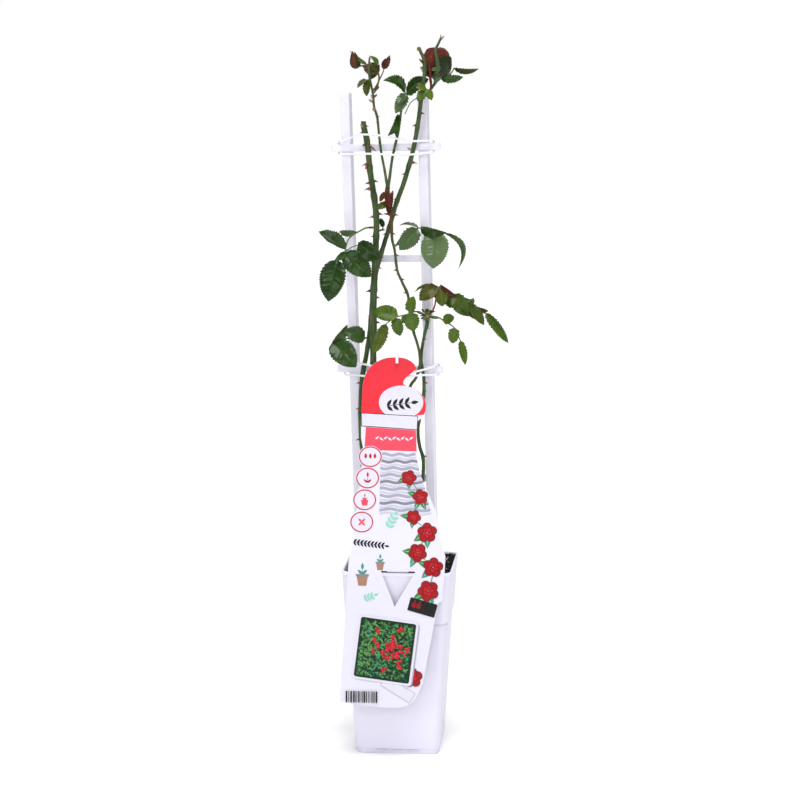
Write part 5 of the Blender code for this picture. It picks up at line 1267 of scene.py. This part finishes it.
def make_soil():
    """The heaped soil, and loose chips and white grains on it and on the pot's inner wall; the dark ones
    crowded on the right wall are partly real soil and partly painted shade.
    """
    inside = [(half - SOIL_GAP, height) for half, height in reversed(POT_INSIDE) if height < SOIL_TOP]
    inside[0] = (inside[0][0], POT_FLOOR + SOIL_GAP)
    rows = [square_ring(half, height) for half, height in inside + [(SOIL_HALF, SOIL_TOP - 3.0)]]
    for share in [1 - i / SOIL_RINGS for i in range(SOIL_RINGS + 1)]:
        ring = []
        for corner in square_ring(SOIL_HALF * max(share, 0.004), 0):
            height = soil_height(corner.x, corner.y)
            spread = 1 + max(height - SOIL_TOP, 0) * 0.0008 * share
            ring.append(Vector((corner.x * spread, corner.y * spread, height)))
        rows.append(ring)
    rows = [row + row[:1] for row in rows]
    block = Shape()
    block.grid(rows, [[(p.x * 0.01, p.y * 0.01) for p in row] for row in rows])
    bottom = rows[0][:-1]
    block.add(bottom, [tuple(reversed(range(len(bottom))))], [(0, 0)] * len(bottom))
    block.build("soil_block", ["soil"], "soil", "soil")
    draw = random.Random(f"{SEED} soil")
    crumbs = Shape()
    for count in range(CRUMBS):
        x, y = draw.uniform(-53, 53), draw.uniform(-53, 53)
        white = count % 7 == 0
        size = draw.uniform(0.7, 1.5) if white else draw.uniform(1.0, 2.8)
        axis = Vector([draw.uniform(-reach, reach) for reach in (1, 1, 0.35)]).normalized()
        long = size * (1.0 if white else draw.uniform(1.0, 2.2))
        crumb(crumbs, Vector((x, y, soil_height(x, y) + size * 0.15)), axis * long, size, white, draw)
    # Dark crumbs crowd the inner wall, mostly on the right: partly real soil stuck there, partly painted
    # shade where that wall lies in shadow.
    stuck = 0
    while stuck < WALL_CRUMBS_AND_SHADE:
        height = draw.uniform(SOIL_TOP, POT_HEIGHT - 2.0)
        ring = square_ring(54.8 + (height - 150) * 0.047, height)
        i = draw.randrange(len(ring))
        spot = ring[i - 1].lerp(ring[i], draw.random())
        if abs(spot.x) < 12 or (spot.x < 0 and draw.random() < 0.7) or height < soil_height(spot.x, spot.y):
            continue
        stuck += 1
        size = draw.uniform(0.4, 1.3)
        aside = Vector([draw.uniform(-1, 1) for _ in range(3)]).normalized() * size
        crumb(crumbs, spot, aside, size, stuck % 9 == 0, draw)
    crumbs.build("soil_crumbs", ("chip", "perlite"), "soil", smooth=False)


def make_ties():
    """The two elastic rings."""
    for name, route in (("tie_top", TIE_TOP_ROUTE), ("tie_lower", TIE_LOW_ROUTE)):
        shape = Shape()
        closed = smooth_route(with_radius(route + route[:1], (TIE_RADIUS, TIE_RADIUS)), 2.0)[:-1]
        tube(shape, closed, 14, cyclic=True, rough=0.05)
        shape.build(name + "_strand", ["tie"], "tie_white", name)


def dress_trellis():
    """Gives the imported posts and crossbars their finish."""
    for name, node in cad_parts.items():
        if name.startswith(("post_", "crossbar_")):
            for entry in node.material_slots:
                entry.material = FINISH["trellis"]


# ---- label ----

def card_depth(height):
    """How far forward the label's middle lies at a height."""
    rise = height - POT_HEIGHT
    extra = CARD_SLOPE_HIGH - CARD_SLOPE_LOW
    return CARD_AT_RIM + CARD_SLOPE_LOW * rise + extra * (math.hypot(rise, CARD_BEND) + rise - CARD_BEND) / 2


def arc(centre_x, centre_z, radius_x, radius_z, start, end, steps):
    """Points along part of an ellipse."""
    angles = [radians(start + (end - start) * i / steps) for i in range(steps + 1)]
    return [(centre_x + radius_x * cos(t), centre_z + radius_z * sin(t)) for t in angles]


def card_head(start, steps):
    """The label's outline from its bulge, begun at an angle, and round its head."""
    return arc(*CARD_BULGE, start, 80, steps) + smooth_flat(CARD_BITE, 1.5) + smooth_flat(CARD_HEAD, 2.0)


def flat_shape(outlines):
    """A flat filled bmesh of closed outlines; inner ones are holes."""
    curve = bpy.data.curves.new("outlines", "CURVE")
    curve.dimensions = "2D"
    curve.fill_mode = "BOTH"
    for outline in outlines:
        spline = curve.splines.new("POLY")
        spline.points.add(len(outline) - 1)
        for corner, (x, z) in zip(spline.points, outline):
            corner.co = (x * MM, z * MM, 0.0, 1.0)
        spline.use_cyclic_u = True
    flat = put("outlines", curve)
    bpy.context.view_layer.update()
    mesh = bpy.data.meshes.new_from_object(flat.evaluated_get(bpy.context.evaluated_depsgraph_get()))
    bpy.data.objects.remove(flat)
    shape = bmesh.new()
    shape.from_mesh(mesh)
    bpy.data.meshes.remove(mesh)
    return shape


def bend_on_card(shape, lift):
    """Cuts a flat bmesh level by level and lays it on the label's bent face."""
    lows = [v.co.y for v in shape.verts]
    level = math.ceil(min(lows) / MM / CARD_STEP) * CARD_STEP
    while level < max(lows) / MM:
        whole = [*shape.verts, *shape.edges, *shape.faces]
        bmesh.ops.bisect_plane(shape, geom=whole, dist=1e-8, plane_co=(0, level * MM, 0), plane_no=(0, 1, 0))
        level += CARD_STEP
    for corner in shape.verts:
        x, z, _ = corner.co
        corner.co = Vector((x, (card_depth(z / MM) - lift) * MM, z))


def make_card():
    """The bent label with the hole under its flap, its tongue and its hook."""
    outline = CARD_BOTTOM + CARD_RIGHT + card_head(-38, 16) + CARD_LEFT
    for x, z in CARD_DISCS:
        outline += arc(x, z, *CARD_DISC_RADIUS, 128, 232, 12)
    shape = flat_shape([outline + CARD_LEFT_FOOT, CARD_FLAP])
    bmesh.ops.remove_doubles(shape, verts=shape.verts, dist=0.002 * MM)
    bend_on_card(shape, 0.0)
    bmesh.ops.recalc_face_normals(shape, faces=shape.faces)
    shape.faces.ensure_lookup_table()
    if shape.faces[0].normal.y > 0:
        bmesh.ops.reverse_faces(shape, faces=shape.faces)
    card = put("tag_card", mesh_of("tag_card", shape))
    for key in ("card", "card_back"):
        card.data.materials.append(FINISH[key])
    thicken(card, CARD_THICK, 1)
    seat(card, "tag")
    steps = len(TONGUE_ROUTE) - 1
    widths = [TONGUE_WIDTH[0] + (TONGUE_WIDTH[1] - TONGUE_WIDTH[0]) * i / steps for i in range(steps + 1)]
    ribbon("tag_tongue", TONGUE_X, TONGUE_ROUTE, widths, CARD_THICK, "card", "card")
    hook = smooth_flat(HOOK_ROUTE, 1.2)
    widths = [HOOK_WIDTH] * len(hook)
    ribbon("tag_hook_strip", HOOK_X, hook, widths, HOOK_THICK, "tie", "tie_white", "tag_hook")


def ribbon(name, x, route, widths, thick, finish, slot, node=None):
    """A strip along a route of (y, z) points at x, with softened edges."""
    rows = []
    for i, (y, z) in enumerate(route):
        along = (Vector(route[min(i + 1, len(route) - 1)]) - Vector(route[max(i - 1, 0)])).normalized()
        row = []
        for across, through in RIBBON_SECTION:
            off = Vector((-along.y, along.x)) * thick / 2 * through
            row.append(Vector((x + across * (widths[i] / 2), y + off.x, z + off.y)))
        rows.append(row + row[:1])
    shape = Shape()
    shape.grid(rows, [[(j / 8, i / 10) for j in range(9)] for i in range(len(rows))])
    for row in (rows[0][:-1], rows[-1][:-1]):
        shape.add(row, [tuple(range(8))], [(0, 0)] * 8)
    shape.build(name, [finish], slot, node).data.set_sharp_from_angle(angle=radians(RIBBON_SHARP))


def inset(outline, distance):
    """The outline, run anticlockwise, moved inward by a distance."""
    moved = []
    for i, point in enumerate(outline):
        before, here, after = Vector(outline[i - 1]), Vector(point), Vector(outline[(i + 1) % len(outline)])
        one, two = (here - before).normalized(), (after - here).normalized()
        inward = Vector((-one.y - two.y, one.x + two.x)).normalized()
        moved.append(tuple(here + inward * distance))
    return moved


def turned(x, z, angle, points):
    """Points turned by an angle and moved to (x, z)."""
    c, s = cos(radians(angle)), sin(radians(angle))
    return [(x + px * c - pz * s, z + px * s + pz * c) for px, pz in points]


def scaled(x, z, size, points):
    """Points times a size and moved to (x, z)."""
    return [(x + px * size, z + pz * size) for px, pz in points]


def rounded(width, height, radius):
    """A rectangle with round corners about its middle."""
    points = []
    for quarter, (sx, sz) in enumerate(((1, 1), (-1, 1), (-1, -1), (1, -1))):
        points += arc(sx * (width / 2 - radius), sz * (height / 2 - radius), radius, radius, quarter * 90,
                      quarter * 90 + 90, 5)
    return points


class Print:
    """Flat coloured areas laid on the label, in thin layers one over the other."""

    def __init__(self):
        self.areas = []

    def area(self, outline, colour):
        self.areas.append((outline, colour))

    def disc(self, x, z, rx, rz, colour, steps=28):
        self.area(arc(x, z, rx, rz, 0, 360, steps)[:-1], colour)

    def leaf(self, x, z, angle, length, width, colour):
        """A pointed leaf from (x, z) along an angle."""
        turn = radians(angle)
        out, aside = Vector((cos(turn), sin(turn))), Vector((-sin(turn), cos(turn)))
        edge = []
        for t in [i / 8 for i in range(9)]:
            edge.append((Vector((x, z)) + out * length * t, aside * width / 2 * sin(pi * t ** 0.8)))
        corners = [a + b for a, b in edge] + [a - b for a, b in edge[-2:0:-1]]
        self.area([tuple(p) for p in corners], colour)

    def sprig(self, x, z, angle, length, pairs, size, colour):
        """A straight stem with pairs of leaves and one at its end."""
        for i in range(pairs + 1):
            reach = length * i / pairs
            px, pz = x + reach * cos(radians(angle)), z + reach * sin(radians(angle))
            for lean, wide in ((-48, 0.42), (48, 0.42)) if i < pairs else ((0, 0.45),):
                self.leaf(px, pz, angle + lean, size, size * wide, colour)
        self.area(turned(x, z, angle, [(0, -0.35), (length, -0.25), (length, 0.25), (0, 0.35)]), colour)

    def blossom(self, x, z, size, turn, draw):
        """A plain flower of five round petals with a smaller five inside."""
        for reach, spread, start, inner in ((0.52, 0.47, 0, "mid_red"), (0.26, 0.27, 36, "crimson")):
            for i in range(5):
                a = radians(turn + start + 72 * i)
                px, pz = x + size * reach * cos(a), z + size * reach * sin(a)
                wide = size * spread * draw.uniform(0.94, 1.04)
                self.disc(px, pz, wide, wide * 0.94, "deep_red", 16)
                self.disc(px, pz, wide - 0.055 * size, wide * 0.94 - 0.055 * size, inner, 16)
        self.disc(x, z, size * 0.15, size * 0.14, "deep_red", 10)
        self.disc(x, z, size * 0.08, size * 0.08, "copper", 8)

    def build(self, name):
        """One piece with a material for each colour; each area lies a hair above the one before."""
        keys = sorted({colour for _, colour in self.areas})
        whole = bmesh.new()
        for order, (outline, colour) in enumerate(self.areas):
            part = bmesh.new()
            part.faces.new([part.verts.new((x * MM, z * MM, 0.0)) for x, z in outline])
            part.normal_update()
            if max(z for _, z in outline) - min(z for _, z in outline) > 2.0:
                bmesh.ops.triangulate(part, faces=part.faces)
            bend_on_card(part, CARD_THICK / 2 + PRINT_RISE + PRINT_LAYER * order)
            for face in part.faces:
                face.material_index = keys.index(colour)
            if sum(face.normal.y for face in part.faces) > 0:
                bmesh.ops.reverse_faces(part, faces=part.faces)
            part.normal_update()
            mesh = mesh_of("part", part)
            whole.from_mesh(mesh)
            bpy.data.meshes.remove(mesh)
        mesh = mesh_of(name, whole)
        for key in keys:
            colour = PRINT_COLOURS[key]
            shade = tuple(c * 0.93 for c in colour)
            mesh.materials.append(mottled_finish("print_" + key, shade, colour, 0.32, 160.0, 0.03, 0.05,
                                                 Specular_IOR_Level=0.25))
        seat(put(name, mesh))


def print_head(page):
    """The red head, the fields under it, the wave bands and the round marks."""
    page.area(inset(card_head(-26, 14) + [(-41, 371), (17, 369)], PRINT_MARGIN), "red")
    page.disc(2.0, 383, 24.0, 17.6, "white", 44)
    page.sprig(-13, 379, 8, 26, 4, 8.5, "ink")
    for outline, colour in HEAD_FIELDS:
        page.area(outline, colour)
    for i in range(9):
        page.leaf(-25 + 4.6 * i, 344 + (i % 2) * 1.6, 35 - 70 * (i % 2), 5.2, 2.0, "white")
    for i in range(WAVES):
        low = 326.5 - i * 3.6
        right = 17.4 + (331 - low) * 0.30
        ends = [(-19 + (right + 19) * j / 16, low + 0.9 * sin(j * 0.9 + i * 0.7)) for j in range(17)]
        thick = 2.2 if i % 2 else 3.0
        page.area([(px, pz + thick) for px, pz in ends] + ends[::-1], WAVE_TONES[i % 6])
    for count, (x, z) in enumerate(CARD_DISCS):
        for rx, rz, colour in MARK_DISCS:
            page.disc(x, z, rx, rz, colour)
        if count == 0:
            for i in range(3):
                page.leaf(x - 5 + i * 5, z - 2, 90, 6, 3, "crimson")
        elif count == 1:
            page.sprig(x, z - 5, 90, 6, 1, 5.6, "crimson")
        elif count == 2:
            page.area(scaled(x, z, 1, [(-4, 0), (-2.8, -6), (2.8, -6), (4, 0)]), "coral")
            page.sprig(x, z, 90, 3, 1, 3.6, "crimson")
        else:
            for i in range(4):
                page.leaf(x, z, 45 + 90 * i, 5.4, 2.4, "coral")


def print_middle(page, draw):
    """Sprigs, small pots with sprouts, and the winding stem of flowers down the right side."""
    page.sprig(-46, 236, -6, 34, 9, 5.0, "ink")
    page.sprig(-9, 252, 62, 14, 3, 7.5, "mint")
    page.sprig(-34, 176, 20, 11, 3, 6.0, "mint")
    for x, z, size in ((-36, 200, 1.0), (-17, 214, 0.7)):
        page.area(scaled(x, z, size, [(-6, 0), (-4.2, -10), (4.2, -10), (6, 0)]), "copper")
        page.area(scaled(x, z, size, [(-7, 2.4), (-7, 0), (7, 0), (7, 2.4)]), "slate")
        page.sprig(x, z + 2.4 * size, 90, 5 * size, 1, 7 * size, "teal")
    line = smooth_flat([(x, z) for x, z, _ in GARLAND], 3.0)
    page.area([(x - 0.6, z) for x, z in line] + [(x + 0.6, z) for x, z in line[::-1]], "teal")
    for x, z, size in GARLAND:
        start = draw.uniform(150, 210)
        for i in range(4):
            angle = start + i * 62 + draw.uniform(-14, 14)
            long = size * draw.uniform(1.45, 1.8)
            if x + long * cos(radians(angle)) <= x + size:
                page.leaf(x, z, angle, long, size * 0.72, "teal" if i % 2 else "leaf_mid")
                page.leaf(x, z, angle, long * 0.97, size * 0.08, "mint")
    for count, (x, z, size) in enumerate(GARLAND):
        page.blossom(x, z, size, 31 * count, draw)
    page.area(turned(29, 168, -15, rounded(30, 14.5, 0.8)), "ink")
    page.sprig(19, 168, 70, 5, 2, 3.6, "mid_red")
    page.sprig(24, 167, 70, 5, 2, 3.6, "mid_red")


def print_panel(page, draw):
    """The framed panel of foliage with berries, the flower behind it and the bars below."""
    page.blossom(18.5, 92, 11.5, 20, draw)
    wide, tall = PANEL_SIZE
    x, z = PANEL
    for place, size, radius, colour in (
            ((3, 79, -31), (37, 12), 0.6, "grey"), ((3, 79, -31), (36.2, 11.2), 0.5, "white"),
            ((x + 1.6, z - 1.2, PANEL_TILT), (wide + 3.4, tall + 2.6), 4, "grey"),
            ((x, z, PANEL_TILT), (wide + 4, tall + 4), 4, "white"),
            ((x, z, PANEL_TILT), (wide - 1, tall - 1), 2.5, "leaf_deep")):
        page.area(turned(*place, rounded(*size, radius)), colour)
    for i in range(3 * PANEL_LEAVES):
        layer = i // PANEL_LEAVES
        px, pz = [draw.uniform(-side / 2 + 2.6, side / 2 - 2.6) for side in PANEL_SIZE]
        shade = draw.gauss(0.5, 0.25) + 0.3 * (pz / tall - px / wide)
        if layer == 2 and shade < 0.45:
            continue
        long = draw.uniform(3.0, 4.6)
        (cx, cz), = turned(x, z, PANEL_TILT, [(px * 0.97, pz * 0.97)])
        colour = ("leaf", "leaf_mid" if shade > 0.4 else "leaf",
                  "leaf_bright" if shade > 0.62 else "teal")[layer]
        angle = draw.uniform(0, 360)
        turn, back = radians(angle), long * 0.5
        page.leaf(cx - back * cos(turn), cz - back * sin(turn), angle, long, long * 0.42, colour)
    for i in range(BERRY_BUNCHES):
        px, pz = draw.gauss(3, 11), draw.gauss(-1, 15)
        if abs(px) > wide / 2 - 6 or abs(pz) > tall / 2 - 6:
            continue
        (cx, cz), = turned(x, z, PANEL_TILT, [(px, pz)])
        for j in range(draw.randint(3, 5)):
            bx, bz = cx + draw.uniform(-2.4, 2.4), cz + draw.uniform(-2.4, 2.4)
            size = draw.uniform(1.3, 2.1)
            page.disc(bx, bz, size, size, "crimson" if j % 3 else "mid_red", 12)
            page.disc(bx - size * 0.3, bz + size * 0.35, size * 0.35, size * 0.3, "coral", 7)
    left = -53.0
    while left < -18:
        bar = draw.choice((0.7, 1.1, 1.7))
        page.area([(left, 64.0), (left + bar, 64.0), (left + bar, 76.5), (left, 76.5)], "ink")
        left += bar + draw.choice((0.6, 0.9, 1.3))


def make_print():
    """The label's printing, of plain shapes in the colours of such a label."""
    draw = random.Random(f"{SEED} print")
    page = Print()
    print_head(page)
    print_middle(page, draw)
    print_panel(page, draw)
    page.build("tag_print")


# ---- stage ----

def make_stage():
    """The white floor, the room's light, the lamps and the camera."""
    shape = bmesh.new()
    bmesh.ops.create_grid(shape, x_segments=1, y_segments=1, size=FLOOR_SIZE)
    floor = put("floor", mesh_of("floor", shape))
    white = mottled_finish("floor_white", (0.975,) * 3, (0.985,) * 3, 0.95, 3.0, 0.05, 0.02)
    floor.data.materials.append(white)
    scene = bpy.context.scene
    scene.world = bpy.data.worlds.new("studio")
    scene.world.use_nodes = True
    sky = scene.world.node_tree
    background = sky.nodes["Background"].inputs
    background["Color"].default_value = (1.0, 1.0, 1.0, 1.0)
    seen = new_node(sky, "LightPath")["Is Camera Ray"]
    strength = new_node(sky, "MapRange", {"Value": seen, "To Min": ROOM_LIGHT, "To Max": 1.0})["Result"]
    sky.links.new(strength, background["Strength"])
    sun = bpy.data.lights.new("overhead", "SUN")
    sun.energy = SUN_POWER
    sun.angle = radians(SUN_SPREAD)
    put("overhead", sun).rotation_euler = [radians(angle) for angle in SUN_TILT]
    for name, place, size, power in LAMPS:
        light = bpy.data.lights.new(name, "AREA")
        light.shape = "DISK"
        light.size = size
        light.energy = power
        lamp = put(name, light)
        lamp.location = place
        lamp.rotation_euler = (Vector(LAMP_AIM) - Vector(place)).to_track_quat("-Z", "Y").to_euler()
    lens = bpy.data.cameras.new("camera")
    lens.sensor_width = SENSOR_WIDTH
    lens.lens = CAMERA_LENS
    lens.clip_end = 30.0
    camera = put("camera", lens)
    azimuth = radians(CAMERA_AZIMUTH)
    camera.location = MM * Vector((sin(azimuth) * CAMERA_DISTANCE + CAMERA_SHIFT,
                                   -cos(azimuth) * CAMERA_DISTANCE, CAMERA_HEIGHT))
    camera.rotation_euler = (radians(90 - CAMERA_PITCH), 0.0, azimuth)
    scene.camera = camera
    scene.view_settings.view_transform = "Standard"


make_stage()
make_pot()
make_soil()
dress_trellis()
make_ties()
make_card()
make_print()
canes = make_canes()
for leaf_name, leaf_row in LEAVES.items():
    make_leaf(leaf_name, leaf_row, canes)
make_bloom(canes)
make_buds(canes)
